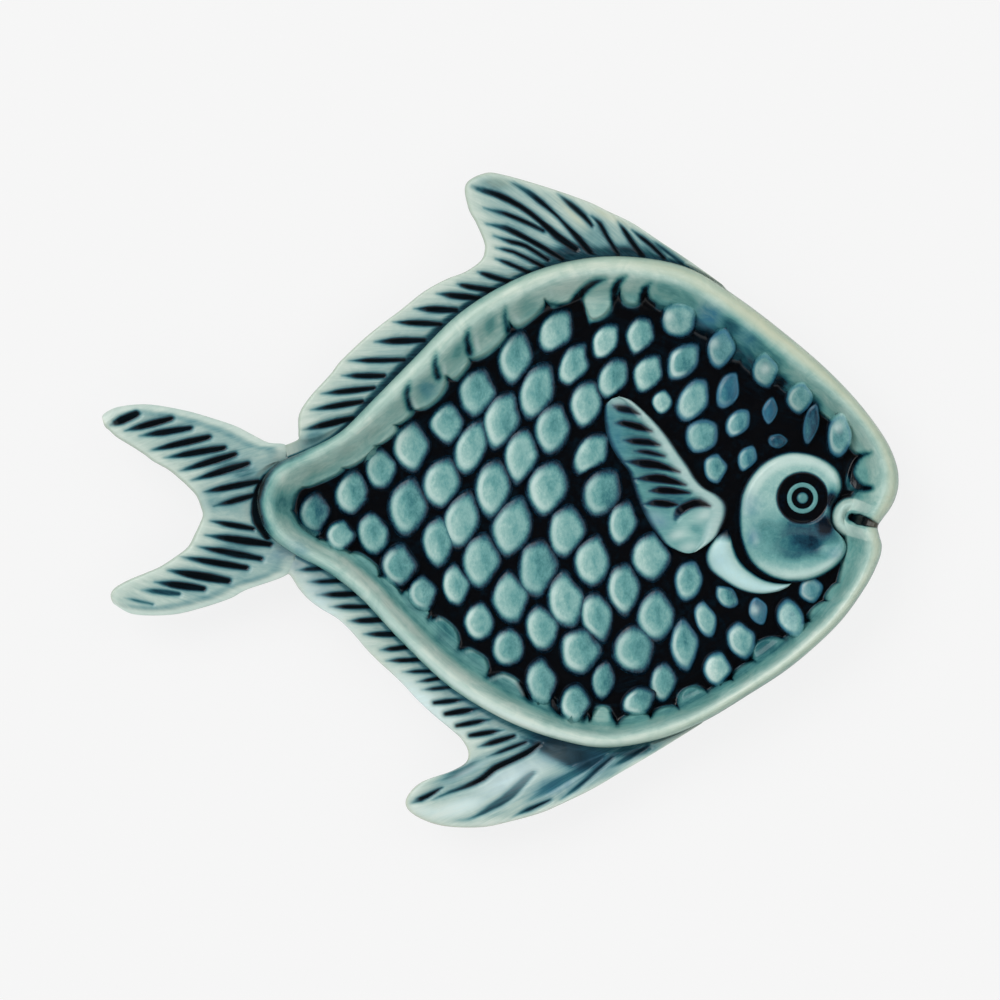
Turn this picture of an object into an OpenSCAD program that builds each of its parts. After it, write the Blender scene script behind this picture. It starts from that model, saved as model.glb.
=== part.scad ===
// Fish shaped platter in glazed ceramic. The body of a deep fish is a shallow well with a rolled rim.
// Grooved tail, dorsal and anal fins stand out from the rim, and the well's floor carries raised
// scales, a side fin, a round cheek with an eye, and a gill cover. The mouth is cut in the rim.
// X runs from the tail to the snout, Y from the anal fin to the dorsal fin, and Z up from the table.
// The origin is on the table, under the middle of the outline.

/* [Overall] */
// Length from the tail tips to the snout
length = 280; // [240:5:340]
// Width from the anal fin to the tip of the dorsal fin
width = 230; // [200:5:280]
// Height of the rim's crest above the table
rim_height = 25; // [22:0.5:32]

/* [Dish] */
// Thickness of the floor
floor_thickness = 5; // [3.5:0.5:7]
// Drop from the rim's crest to the top of the fins
rim_step = 6; // [4:0.5:8]

/* [Foot] */
// Outer radius of the foot ring
foot_radius = 52; // [40:1:56]
// Width of the foot ring
foot_wall = 7; // [5:0.5:12]
// Height of the foot ring
foot_height = 4.5; // [4.2:0.1:6]
// Bevel on the foot ring's lower edges
foot_bevel = 1; // [0.4:0.1:1.5]

/* [Fins] */
// Thickness of the fins where they join the rim
fin_thickness = 5.5; // [4.5:0.5:6.5]
// Thickness of the fins at their edges
fin_edge = 3.2; // [2.4:0.1:4]
// Rise of the fins' edges above their roots
fin_rise = 1.5; // [0:0.1:2.5]
// Depth of the grooves in the fins
groove_depth = 1.3; // [0.4:0.1:1.8]

/* [Side fin] */
// Length of the side fin along Y
side_fin_length = 55; // [45:1:60]
// Width of the side fin along X
side_fin_width = 43.5; // [36:0.5:48]
// Height of the side fin above the floor
side_fin_height = 3.6; // [2.8:0.1:5]

/* [Head] */
// Width of the cheek along X
cheek_width = 38; // [32:0.5:42]
// Length of the cheek along Y
cheek_length = 45; // [38:0.5:50]
// Height of the cheek above the floor
cheek_height = 5; // [3.5:0.1:6.5]
// Gap between the cheek and the foot of the wall at the mouth
cheek_gap = 0.9; // [0.5:0.1:3]
// Gap between the side fin and the cheek
side_fin_gap = 3.2; // [2.4:0.1:5]
// Height of the gill cover above the floor
gill_height = 3.6; // [2.5:0.1:5]
// Height of the lips above the rim and its wall
lip_height = 1.6; // [0.5:0.1:2.5]
// Width of each lip
lip_width = 6; // [4:0.1:7]
// Depth of the mouth between the lips
mouth_depth = 2.4; // [1:0.1:3]
// Width of the mouth between the lips
mouth_width = 3.4; // [2:0.1:4]

/* [Eye] */
// Radius of the socket that the eye lies in
socket_radius = 9; // [8:0.1:10]
// Depth of the socket
socket_depth = 1.2; // [0.6:0.1:2]
// Radius of the middle of the ring round the eye
eye_ring_radius = 5.3; // [4.4:0.1:6]
// Thickness of the ring round the eye
eye_ring_wire = 1.8; // [1.2:0.1:2.2]
// Radius of the pupil
pupil_radius = 2.1; // [1.4:0.1:2.6]
// Height of the pupil above the socket
pupil_height = 1.2; // [0.6:0.1:1.6]

/* [Scales] */
// Width of the channel between two scales
channel_width = 2; // [1.4:0.1:4]
// Height of the largest scale's crown above the floor
scale_height = 2.8; // [1.8:0.1:3.6]
// Height of the largest scale's sides
scale_side = 1; // [0.5:0.1:1.4]
// Least gap between a scale and the wall, the cheek or a fin
scale_gap = 0.8; // [0.4:0.1:2]

/* [Hidden] */

// Plan outlines are in thousandths: x of the length and y of the width, from the middle
whole_share = 1000;
// Straight steps between two neighbouring outline points
steps = 3;
// Straight steps from one fin groove to the next
groove_steps = 4;
// Nearness, in rim steps, at which a fin's line counts as lying on a corner of the rim
corner_share = 0.05;
// Directions in which a scale's outline is tested
test_angles = [0, 45, 90, 135, 180, 225, 270, 315];

// Heights that follow from the driving sizes
floor_top = foot_height + floor_thickness;
band_top = rim_height - rim_step;
band_low = band_top - fin_thickness;

// Outer line of the rim, from the mouth over the back to the tail and along the belly
rim_shares = [
    [474, -41], [481, -27], [489, -14], [496, 3], [500, 26], [497, 56], [482, 96], [449, 150],
    [407, 203], [357, 255], [301, 307], [244, 351], [188, 369], [125, 372], [60, 357], [0, 326],
    [-56, 281], [-110, 215], [-160, 153], [-201, 104], [-244, 76], [-281, 55], [-301, 24],
    [-305, -12], [-292, -50], [-261, -81], [-216, -111], [-175, -150], [-125, -215], [-65, -284],
    [0, -333], [63, -363], [128, -378], [194, -365], [251, -336], [307, -294], [363, -249],
    [420, -189], [456, -134], [474, -95], [479, -72], [476, -55]];

// Edge of the flat floor, point for point inside the rim's line
floor_shares = [
    [431, -41], [432, -27], [436, -14], [442, 5], [449, 27], [450, 55], [439, 92], [412, 127],
    [373, 159], [326, 194], [278, 235], [228, 278], [178, 299], [125, 305], [75, 296], [25, 264],
    [-20, 226], [-68, 175], [-113, 130], [-160, 85], [-201, 49], [-236, 27], [-252, 11],
    [-256, -11], [-248, -37], [-223, -58], [-188, -81], [-148, -122], [-105, -177], [-48, -240],
    [13, -287], [70, -320], [128, -336], [185, -325], [238, -305], [288, -270], [338, -229],
    [388, -178], [419, -131], [431, -95], [435, -73], [434, -56]];

// Section of the dish: share of the way from the rim's line to the floor's edge, then share of the
// height of that stretch. The three stretches are the underside, the crest and the wall.
underside_shares = [[1, 0], [0.75, 0.22], [0.5, 0.5], [0.25, 0.78], [0, 1]];
crest_shares = [[0, 0], [0.03, 0.4], [0.1, 0.78], [0.19, 0.95], [0.28, 1]];
wall_shares = [[0.38, 0.975], [0.48, 0.885], [0.58, 0.74], [0.68, 0.56], [0.78, 0.37], [0.88, 0.19],
    [0.96, 0.06], [1.04, 0]];

// Section of a fin along one line from its edge to its root: share of the way, share of the
// thickness from the underside, and share of the groove's depth
fin_section_shares = [[0.04, 0, 0], [0, 0.45, 0], [0.04, 0.86, 0], [0.13, 1, 0], [0.24, 1, 0.9],
    [0.5, 1, 1], [0.76, 1, 0.8], [0.9, 0.94, 0], [1, 1, 0], [1, 0, 0]];

// Section of the side fin, in the same form
side_section_shares = [[0, 0, 0], [0.02, 0.5, 0], [0.12, 0.8, 0], [0.24, 0.85, 0.8], [0.46, 0.9, 1],
    [0.68, 0.97, 0.8], [0.84, 1, 0], [0.95, 0.78, 0], [1, 0, 0]];

// Section of the gill cover, in the same form
gill_section_shares = [[0, 0, 0], [0.04, 0.5, 0], [0.2, 0.85, 0], [0.5, 1, 0], [0.8, 0.85, 0],
    [0.96, 0.5, 0], [1, 0, 0]];

// Lines of the dorsal fin, from the back of the head to the tail: a point on the edge, the place of
// the root in points of the rim's line, and the strength of the groove
dorsal_shares = [
    [278, 330, 10.2, 0], [238, 365, 10.6, 0], [201, 395, 10.9, 0], [173, 418, 11.2, 1],
    [157, 429, 11.5, 1], [134, 442, 11.8, 1], [110, 456, 12.1, 1], [61, 477, 12.4, 1],
    [4, 497, 12.6, 1], [-20, 499, 12.8, 0], [-43, 482, 13, 1], [-40, 447, 13.2, 1],
    [-30, 423, 13.5, 1], [-21, 398, 13.7, 1], [-19, 383, 13.9, 1], [-24, 366, 14.1, 1],
    [-43, 349, 14.5, 1], [-68, 337, 14.9, 1], [-96, 318, 15.3, 1], [-125, 290, 15.7, 1],
    [-147, 270, 16.1, 1], [-173, 244, 16.5, 1], [-201, 211, 17, 1], [-213, 192, 17.4, 1],
    [-239, 157, 17.7, 1], [-252, 131, 18, 1], [-253, 105, 18.3, 1], [-253, 99, 18.8, 0],
    [-254, 92, 20.1, 0], [-269, 84, 20.6, 0]];

// Lines of the anal fin, from the tail to the belly, in the same form
anal_shares = [
    [-266, -113, 25.1, 0], [-262, -117, 25.6, 1], [-252, -136, 26.5, 1], [-241, -151, 26.9, 1],
    [-226, -165, 27.2, 1], [-203, -182, 27.5, 1], [-185, -203, 27.8, 1], [-169, -226, 28.1, 1],
    [-153, -246, 28.4, 1], [-134, -267, 28.6, 1], [-119, -285, 28.9, 1], [-107, -301, 29.1, 1],
    [-91, -320, 29.4, 1], [-76, -336, 29.6, 1], [-60, -352, 29.9, 1], [-48, -366, 30.3, 1],
    [-40, -384, 30.7, 1], [-43, -401, 31, 1], [-63, -415, 31.2, 0], [-100, -432, 31.4, 0],
    [-118, -458, 31.7, 1], [-110, -479, 32, 0], [-75, -497, 32.2, 1], [-25, -500, 32.4, 0],
    [13, -491, 32.6, 1], [50, -476, 32.8, 0], [75, -462, 33, 1], [113, -438, 33.3, 0],
    [150, -410, 33.6, 0], [194, -378, 33.9, 0], [236, -348, 34.2, 0]];

// Lines of the tail fin, from the upper tip to the lower tip: a point on the trailing edge, then
// either a point on the leading edge or the place of the root, and the strength of the groove
tail_shares = [
    [-500, 121, -498, 134, 0], [-495, 111, -476, 143, 0], [-491, 107, -441, 146, 1],
    [-481, 96, -396, 137, 1], [-465, 84, -361, 125, 1], [-447, 70, -332, 113, 1],
    [-435, 59, -311, 100, 1], [-416, 46, -291, 88, 1], [-401, 31, -269, 84, 1],
    [-392, 21, 20.6, 0], [-381, 6, 21.5, 1], [-375, -12, 22.3, 1], [-373, -23, 23.2, 0],
    [-376, -34, 23.9, 1], [-383, -52, 24.7, 1], [-392, -72, 25.1, 0],
    [-409, -88, -266, -113, 1], [-427, -102, -318, -137, 1], [-446, -112, -338, -150, 1],
    [-466, -122, -372, -164, 0.6], [-482, -133, -411, -175, 0.6], [-488, -142, -457, -175, 0],
    [-489, -153, -481, -163, 0]];

// Lines of the side fin from its tip to its base: a point on the trailing edge, a point on the
// leading edge and the strength of the groove, in shares of the fin's own width and length
side_fin_shares = [
    [-0.976, 0.994, -0.823, 1, 0], [-1, 0.955, -0.734, 0.949, 1], [-0.992, 0.853, -0.597, 0.853, 1],
    [-0.96, 0.744, -0.484, 0.738, 1], [-0.911, 0.655, -0.403, 0.649, 1],
    [-0.871, 0.578, -0.331, 0.565, 1], [-0.823, 0.502, -0.258, 0.495, 1],
    [-0.774, 0.412, -0.169, 0.419, 1], [-0.726, 0.323, -0.073, 0.361, 0.8],
    [-0.685, 0.252, 0, 0.31, 0], [-0.637, 0.176, -0.008, 0.233, 0], [-0.573, 0.099, -0.056, 0.157, 0],
    [-0.444, 0.022, -0.153, 0.061, 0], [-0.347, 0, -0.242, 0.016, 0]];

// Lines across the gill cover from its upper end to its lower end: a point on the outer edge and a
// point on the inner edge, in shares of half the cheek's width and length from the cheek's middle
gill_shares = [
    [-1.13, -0.26, -1.09, -0.21], [-1.37, -0.44, -1.06, -0.35], [-1.51, -0.63, -0.98, -0.5],
    [-1.4, -0.84, -0.87, -0.66], [-1.15, -1.03, -0.73, -0.8], [-0.8, -1.17, -0.56, -0.92],
    [-0.45, -1.22, -0.38, -1.02], [-0.21, -1.13, -0.19, -1.07]];

// Section of the cheek: share of the way from its outline to the socket, and share of its height
cheek_section_shares = [[0, 0], [0.01, 0.3], [0.08, 0.62], [0.22, 0.85], [0.42, 0.97], [0.65, 1],
    [0.96, 1]];
cheek_sides = 40;
// Middle of the cheek along Y, in thousandths of the width
cheek_y_share = -27;
// Middle of the eye, in shares of half the cheek's width and length from the cheek's middle
eye_shares = [0.19, 0.3];
// Lower end of the side fin, in shares of half the cheek's length from the cheek's middle
side_fin_low_share = -0.54;

// Cells of the scales from the tail to the head, in rows along the back and then below them: the
// middle, the width and the length of each in thousandths, and its lean in degrees
scale_cells_shares = [
    [-233, -21, 38, 61, 5], [-201, -55, 35, 42, 0], [-187, 14, 42, 73, 0], [-150, 46, 43, 65, 8],
    [-112, 79, 47, 79, 6], [-69, 117, 43, 61, -2], [-30, 166, 54, 85, -14], [16, 217, 48, 90, -10],
    [69, 256, 46, 76, -26], [-157, -49, 37, 65, 10], [-118, -12, 48, 90, -2], [-74, 24, 54, 80, -7],
    [-38, 76, 41, 91, -16], [1, 121, 48, 94, -15], [45, 166, 46, 96, -18], [91, 204, 40, 73, -20],
    [132, 241, 35, 67, -27], [175, 250, 38, 65, -20], [-128, -102, 47, 64, 0], [-80, -69, 40, 73, 0],
    [-49, -32, 49, 91, -9], [-10, 17, 50, 96, -7], [25, 66, 46, 91, -6], [65, 107, 46, 85, -8],
    [105, 145, 41, 76, -9], [142, 188, 37, 67, -25], [185, 192, 40, 67, -22], [233, 211, 41, 74, -33],
    [277, 233, 41, 73, -4], [221, 272, 46, 61, -10], [-56, -133, 38, 68, 8], [-24, -95, 51, 85, -3],
    [15, -44, 55, 96, -11], [58, 14, 54, 93, -10], [112, 70, 42, 79, -36], [203, 148, 30, 42, 0],
    [242, 151, 43, 82, -27], [284, 166, 33, 64, -17], [331, 197, 41, 64, 10], [375, 154, 41, 61, 0],
    [338, 136, 25, 48, -8], [426, 92, 37, 73, 0], [-26, -188, 42, 65, 0], [10, -148, 47, 83, 13],
    [46, -105, 52, 91, -4], [83, -50, 52, 85, -3], [128, 6, 49, 74, -20], [252, 96, 45, 68, -23],
    [298, 117, 33, 56, -33], [10, -227, 45, 64, 5], [51, -198, 45, 74, 13], [79, -153, 47, 91, 10],
    [115, -96, 50, 82, -2], [150, -35, 39, 71, -9], [269, 47, 35, 51, 5], [310, 64, 30, 50, -20],
    [51, -279, 43, 73, 6], [99, -233, 55, 74, 0], [122, -180, 43, 80, 12], [153, -139, 51, 86, 0],
    [187, -85, 54, 76, 3], [93, -311, 42, 61, 0], [129, -273, 32, 65, -5], [168, -229, 58, 80, 6],
    [195, -178, 52, 83, 2], [236, -125, 42, 71, -8], [169, -307, 43, 53, 0], [204, -279, 41, 65, 0],
    [231, -223, 41, 86, 7], [258, -182, 33, 67, 18], [284, -150, 28, 47, 50], [271, -258, 43, 67, -3],
    [301, -214, 41, 71, 16], [322, -171, 25, 47, 25], [361, -180, 36, 67, 20], [387, -137, 32, 42, 10]];
// Sizes that are tried in turn where a scale meets the wall, the cheek or a fin
scale_fit_shares = [1, 0.85, 0.7, 0.55];
// Roundness of a scale's outline: 1 is a rhombus and 2 an ellipse
scale_roundness = 1.4;
scale_corners = 16;
// Height of the smallest scales, as a share of the largest one's
low_scale_share = 0.5;
round_faces = 96;

// Plain helpers
function mix(a, b, share) = a + (b - a) * share;
function place(p) = [p.x * length / whole_share, p.y * width / whole_share];
function bump(x) = abs(x) < 1 ? (1 + cos(180 * x)) / 2 : 0;

// Smooth line through points, where t counts points and f is the share of the way to the next
function curve(a, b, c, d, f) =
    (2 * b + (c - a) * f + (2 * a - 5 * b + 4 * c - d) * f * f + (3 * b - a - 3 * c + d) * f * f * f) / 2;
function closed_line(points, t) =
    let (n = len(points), i = floor(t))
    curve(points[(i + n - 1) % n], points[i % n], points[(i + 1) % n], points[(i + 2) % n], t - i);
function open_line(points, t) =
    let (n = len(points) - 1, i = min(floor(t), n - 1))
    curve(points[max(i - 1, 0)], points[i], points[i + 1], points[min(i + 2, n)], t - i);

// Corners of the rim's line, and a place on the straight stretches between them
rim_corners = len(rim_shares) * steps;
function rim_corner(k) = place(closed_line(rim_shares, k / steps));
function floor_corner(k) = place(closed_line(floor_shares, k / steps));
function rim_place(t) =
    let (k = floor(t * steps))
    mix(rim_corner(k), rim_corner(k + 1), t * steps - k);

// Faces between rings of points. In a dome the rings stand round a middle, and their first and last
// points are the faces under and over it. In a bar each ring is closed, and the end rings are faces.
function ring_faces(n, m, round) = [
    for (i = [0 : round ? n - 1 : n - 2], j = [0 : round ? m - 2 : m - 1])
        let (k = (i + 1) % n, l = (j + 1) % m, a = i * m + j, b = i * m + l, c = k * m + l, d = k * m + j)
        each [[a, b, c], [a, c, d]]];
module dome_solid(rings) {
    n = len(rings);
    m = len(rings[0]);
    under = [for (i = [0 : n - 1]) i * m];
    over = [for (i = [n - 1 : -1 : 0]) i * m + m - 1];
    polyhedron([for (ring = rings) each ring], concat(ring_faces(n, m, true), [under, over]));
}
module bar_solid(rings) {
    n = len(rings);
    m = len(rings[0]);
    first = [for (j = [m - 1 : -1 : 0]) j];
    last = [for (j = [0 : m - 1]) (n - 1) * m + j];
    polyhedron([for (ring = rings) each ring], concat(ring_faces(n, m, false), [first, last]));
}

// One line across a fin from point a to point b, with the lower and upper height at each
function section_ring(a, b, at_a, at_b, section, cut) = [
    for (q = section)
        let (p = mix(a, b, q[0]), low = mix(at_a[0], at_b[0], q[0]), high = mix(at_a[1], at_b[1], q[0]))
        [p.x, p.y, mix(low, high, q[1]) - q[2] * cut]];

// Relief of the mouth: two lips with a slot between them, on the rim and its wall. The lips are
// highest on the wall, and the slot is full over the crest and fades down the wall.
mouth_y = rim_corner(0).y;
lip_middle_share = 0.6;
lip_reach_share = 0.5;
slot_full_share = 0.3;
function mouth_relief(p, share) =
    let (off = abs(p.y - mouth_y), lip_off = off - (mouth_width + lip_width) / 2,
        slot_fade = bump(max(share - slot_full_share, 0) / (1 - slot_full_share)))
    p.x < 0 ? 0
    : lip_height * bump(2 * lip_off / lip_width) * bump((share - lip_middle_share) / lip_reach_share)
    - mouth_depth * bump(2 * off / mouth_width) * slot_fade;

module dish() {
    section = concat(
        [for (q = underside_shares) [q[0], mix(foot_height, band_low, q[1]), 0]],
        [for (q = crest_shares) [q[0], mix(band_top, rim_height, q[1]), q[1]]],
        [for (q = wall_shares) [q[0], mix(floor_top, rim_height, q[1]), 1]]);
    rings = [for (k = [0 : rim_corners - 1])
        let (a = rim_corner(k), b = floor_corner(k))
        [for (q = section)
            let (p = mix(a, b, q[0]))
            [p.x, p.y, q[1] + q[2] * mouth_relief(p, q[0])]]];
    color([0.55, 0.68, 0.63]) dome_solid(rings);
}

module foot_ring() {
    inner = foot_radius - foot_wall;
    outline = [[inner + foot_bevel, 0], [foot_radius - foot_bevel, 0], [foot_radius, foot_bevel],
        [foot_radius, foot_height], [inner, foot_height], [inner, foot_bevel]];
    middle = (floor_corner(0) + floor_corner(rim_corners / 2)) / 2;
    color([0.8, 0.76, 0.66]) translate([middle.x, middle.y, 0])
        rotate_extrude($fn = round_faces) polygon(outline);
}

// Lower and upper height of a fin at its edge and at its root
fin_root = [band_low, band_top];
fin_middle = (band_low + band_top) / 2 + fin_rise;
fin_rim = [fin_middle - fin_edge / 2, fin_middle + fin_edge / 2];

// Groove strength along a fin: full on each line that has a groove and none half way to the next
function groove(lines, t) = lines[round(t)][len(lines[0]) - 1] * bump(2 * (t - round(t)));

// Places along a fin from line i on, with one more wherever its root passes a corner of the rim
function fin_places(i, root_a, root_b) = [
    for (q = [0 : groove_steps - 1])
        let (a = mix(root_a, root_b, q / groove_steps) * steps,
            b = mix(root_a, root_b, (q + 1) / groove_steps) * steps)
        each concat([i + q / groove_steps],
            [for (k = [floor(a + corner_share) + 1 : 1 : ceil(b - corner_share) - 1])
                i + (q + (k - a) / (b - a)) / groove_steps])];

// Fin that stands on the rim along its whole root
module rim_fin(lines) {
    last = len(lines) - 1;
    edge = [for (row = lines) [row[0], row[1]]];
    places = concat([for (i = [0 : last - 1]) each fin_places(i, lines[i][2], lines[i + 1][2])], [last]);
    bar_solid([for (t = places)
        let (i = min(floor(t), last - 1), root = mix(lines[i][2], lines[i + 1][2], t - i))
        section_ring(place(open_line(edge, t)), rim_place(root), fin_rim, fin_root,
            fin_section_shares, groove(lines, t) * groove_depth)]);
}

module dorsal_fin() {
    color([0.45, 0.6, 0.58]) rim_fin(dorsal_shares);
}

module anal_fin() {
    color([0.45, 0.6, 0.62]) rim_fin(anal_shares);
}

// The tail's far ends: its leading edges above and below, and the rim between them
function on_rim(row) = len(row) == 4;
function far_place(row) = on_rim(row) ? rim_place(row[2]) : place([row[2], row[3]]);
function tail_places(i) =
    on_rim(tail_shares[i]) && on_rim(tail_shares[i + 1])
        ? fin_places(i, tail_shares[i][2], tail_shares[i + 1][2])
        : [for (q = [0 : groove_steps - 1]) i + q / groove_steps];
function tail_far(i, share) =
    let (a = tail_shares[i], b = tail_shares[i + 1])
    on_rim(a) && on_rim(b) ? rim_place(mix(a[2], b[2], share)) : mix(far_place(a), far_place(b), share);
function tail_groove(t) =
    let (row = tail_shares[round(t)])
    row[len(row) - 1] * bump(2 * (t - round(t)));

module tail_fin() {
    last = len(tail_shares) - 1;
    edge = [for (row = tail_shares) [row[0], row[1]]];
    places = concat([for (i = [0 : last - 1]) each tail_places(i)], [last]);
    color([0.45, 0.6, 0.58]) bar_solid([for (t = places)
        let (i = min(floor(t), last - 1), share = t - i,
            far_a = on_rim(tail_shares[i]) ? fin_root : fin_rim,
            far_b = on_rim(tail_shares[i + 1]) ? fin_root : fin_rim)
        section_ring(place(open_line(edge, t)), tail_far(i, share), fin_rim, mix(far_a, far_b, share),
            fin_section_shares, tail_groove(t) * groove_depth)]);
}

// Places on the floor: the cheek stands off the wall at the mouth, and the rest follows the cheek
cheek_half = [cheek_width, cheek_length] / 2;
cheek_middle = [floor_corner(0).x - cheek_gap - cheek_half.x, cheek_y_share * width / whole_share];
eye_middle = on_cheek(eye_shares);
socket_floor = floor_top + cheek_height - socket_depth;
function on_cheek(p) = [cheek_middle.x + p.x * cheek_half.x, cheek_middle.y + p.y * cheek_half.y];
side_fin_corner = [cheek_middle.x - cheek_half.x - side_fin_gap,
    cheek_middle.y + side_fin_low_share * cheek_half.y];
function on_side_fin(p) =
    [side_fin_corner.x + p.x * side_fin_width, side_fin_corner.y + p.y * side_fin_length];

// Solid on the floor that lies between two edges, with grooves across it
module floor_relief(near, far, height, section, strengths, cut) {
    last = len(near) - 1;
    bar_solid([for (k = [0 : last * groove_steps])
        let (t = k / groove_steps, groove_now = strengths[round(t)] * bump(2 * (t - round(t))))
        section_ring(open_line(near, t), open_line(far, t), [floor_top, floor_top + height],
            [floor_top, floor_top + height], section, groove_now * cut)]);
}

side_fin_near = [for (row = side_fin_shares) on_side_fin([row[0], row[1]])];
side_fin_far = [for (row = side_fin_shares) on_side_fin([row[2], row[3]])];
module side_fin() {
    color([0.5, 0.66, 0.66]) floor_relief(side_fin_near, side_fin_far, side_fin_height,
        side_section_shares, [for (row = side_fin_shares) row[4]], groove_depth);
}

gill_near = [for (row = gill_shares) on_cheek([row[0], row[1]])];
gill_far = [for (row = gill_shares) on_cheek([row[2], row[3]])];
module gill_cover() {
    color([0.6, 0.74, 0.76]) floor_relief(gill_near, gill_far, gill_height,
        gill_section_shares, [for (row = gill_shares) 0], 0);
}

module cheek() {
    rings = [for (k = [0 : cheek_sides - 1])
        let (turn = 360 * k / cheek_sides, way = [cos(turn), sin(turn)],
            outer = on_cheek(way), socket = eye_middle + way * socket_radius)
        concat(
            [for (q = cheek_section_shares)
                let (p = mix(outer, socket, q[0]))
                [p.x, p.y, floor_top + q[1] * cheek_height]],
            [[socket.x, socket.y, socket_floor]])];
    color([0.55, 0.7, 0.68]) dome_solid(rings);
}

// The ring is a round wire sunk to its middle, and the pupil a low dome
module eye_ring() {
    wire = eye_ring_wire / 2;
    color([0.5, 0.65, 0.65]) translate([eye_middle.x, eye_middle.y, socket_floor]) intersection() {
        rotate_extrude($fn = round_faces)
            translate([eye_ring_radius, 0]) circle(wire, $fn = round_faces / 2);
        cylinder(h = eye_ring_wire, r = eye_ring_radius + eye_ring_wire, $fn = round_faces);
    }
}

module eye_pupil() {
    ball = (pupil_radius * pupil_radius + pupil_height * pupil_height) / (2 * pupil_height);
    color([0.4, 0.55, 0.56]) translate([eye_middle.x, eye_middle.y, socket_floor]) intersection() {
        translate([0, 0, pupil_height - ball]) sphere(ball, $fn = round_faces);
        cylinder(h = pupil_height * 2, r = pupil_radius * 2, $fn = round_faces);
    }
}

// Point-in-outline test by counting the sides that a ray towards +X crosses
function crosses(p, a, b) =
    (a.y > p.y) != (b.y > p.y) && p.x < a.x + (b.x - a.x) * (p.y - a.y) / (b.y - a.y);
function inside(p, outline) =
    let (n = len(outline))
    len([for (i = [0 : n - 1]) if (crosses(p, outline[i], outline[(i + 1) % n])) i]) % 2 == 1;
function outline_of(near, far) = concat(near, [for (i = [len(far) - 1 : -1 : 0]) far[i]]);
wall_foot_share = wall_shares[len(wall_shares) - 1][0];
floor_outline = [for (k = [0 : rim_corners - 1]) mix(rim_corner(k), floor_corner(k), wall_foot_share)];
side_fin_outline = outline_of(side_fin_near, side_fin_far);
gill_outline = outline_of(gill_near, gill_far);
function on_cheek_disc(p) =
    pow((p.x - cheek_middle.x) / cheek_half.x, 2) + pow((p.y - cheek_middle.y) / cheek_half.y, 2) < 1;
function is_free(p) =
    inside(p, floor_outline) && !inside(p, side_fin_outline)
    && !inside(p, gill_outline) && !on_cheek_disc(p);

// Half the size of a scale, and its outline round its middle: a rhombus with round sides
function scale_half(cell) = (place([cell[2], cell[3]]) - [channel_width, channel_width]) / 2;
function power(x, e) = sign(x) * pow(abs(x), e);
function scale_point(cell, turn, size, grow) =
    let (half = scale_half(cell) * size + [grow, grow],
        x = power(cos(turn), 2 / scale_roundness) * half.x,
        y = power(sin(turn), 2 / scale_roundness) * half.y)
    [x * cos(cell[4]) - y * sin(cell[4]), x * sin(cell[4]) + y * cos(cell[4])];

// Share of its size that a scale keeps where it meets the wall, the cheek or a fin, down to none
function free_at(cell, size) =
    len([for (turn = test_angles)
        if (!is_free(place(cell) + scale_point(cell, turn, size, scale_gap))) turn]) == 0;
function scale_size(cell) =
    let (fits = [for (share = scale_fit_shares) if (free_at(cell, share)) share])
    len(fits) > 0 ? fits[0] : 0;

// A scale is a prism under a round crown, and a short one is lower
longest_cell = max([for (cell = scale_cells_shares) cell[3]]);
module one_scale(cell, size) {
    high = mix(low_scale_share, 1, size * cell[3] / longest_cell);
    rise = (scale_height - scale_side) * high;
    reach = scale_half(cell).y * size;
    ball = (rise * rise + reach * reach) / (2 * rise);
    intersection() {
        linear_extrude(scale_height)
            polygon([for (k = [0 : scale_corners - 1])
                scale_point(cell, 360 * k / scale_corners, size, 0)]);
        translate([0, 0, scale_height * high - ball]) sphere(ball, $fn = round_faces);
    }
}

module scales() {
    color([0.36, 0.55, 0.55]) for (cell = scale_cells_shares)
        if (scale_size(cell) > 0)
            translate([place(cell).x, place(cell).y, floor_top]) one_scale(cell, scale_size(cell));
}

dish();
foot_ring();
tail_fin();
dorsal_fin();
anal_fin();
side_fin();
cheek();
gill_cover();
eye_ring();
eye_pupil();
scales();
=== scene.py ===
"""Fish shaped platter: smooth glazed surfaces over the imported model, under soft studio light.

Outlines are in thousandths of the platter's length and width from its middle, as in the model's
own source. Single marks that were read from the photograph are in its pixels and named so.
"""
import math

import bpy
import numpy as np
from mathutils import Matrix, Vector
from mathutils.bvhtree import BVHTree


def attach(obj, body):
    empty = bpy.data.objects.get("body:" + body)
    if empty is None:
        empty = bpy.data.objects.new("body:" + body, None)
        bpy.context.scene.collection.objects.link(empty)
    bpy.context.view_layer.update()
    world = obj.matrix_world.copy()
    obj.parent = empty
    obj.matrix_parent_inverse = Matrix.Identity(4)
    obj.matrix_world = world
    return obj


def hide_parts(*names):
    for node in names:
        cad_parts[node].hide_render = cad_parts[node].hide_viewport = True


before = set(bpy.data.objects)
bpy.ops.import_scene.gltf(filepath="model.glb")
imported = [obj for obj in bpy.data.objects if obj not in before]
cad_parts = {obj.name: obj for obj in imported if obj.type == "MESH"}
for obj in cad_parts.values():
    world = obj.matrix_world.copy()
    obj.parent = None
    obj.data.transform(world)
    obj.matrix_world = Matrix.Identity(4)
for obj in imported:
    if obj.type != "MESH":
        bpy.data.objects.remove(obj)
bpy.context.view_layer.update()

# Driving sizes in metres, the same as in the model's source, and the share of them that keeps the
# glazed surfaces just inside the solids' outline
MM = 0.001
LENGTH = 280 * MM
WIDTH = 230 * MM
RIM_TOP = 25 * MM
FOOT_TOP = 4.5 * MM
FLOOR_TOP = 9.5 * MM
BAND_TOP = 19 * MM
BAND_LOW = 13.5 * MM
FIN_EDGE_LOW = 16.15 * MM
FIN_EDGE_HIGH = 19.35 * MM
SNUG = 0.999

# The photograph: its width and the platter's length in pixels, and the pixel at its middle
PHOTO_PX = 1000
LENGTH_PX = 798
MIDDLE_PX = PHOTO_PX / 2
PIXEL = LENGTH / LENGTH_PX

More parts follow.
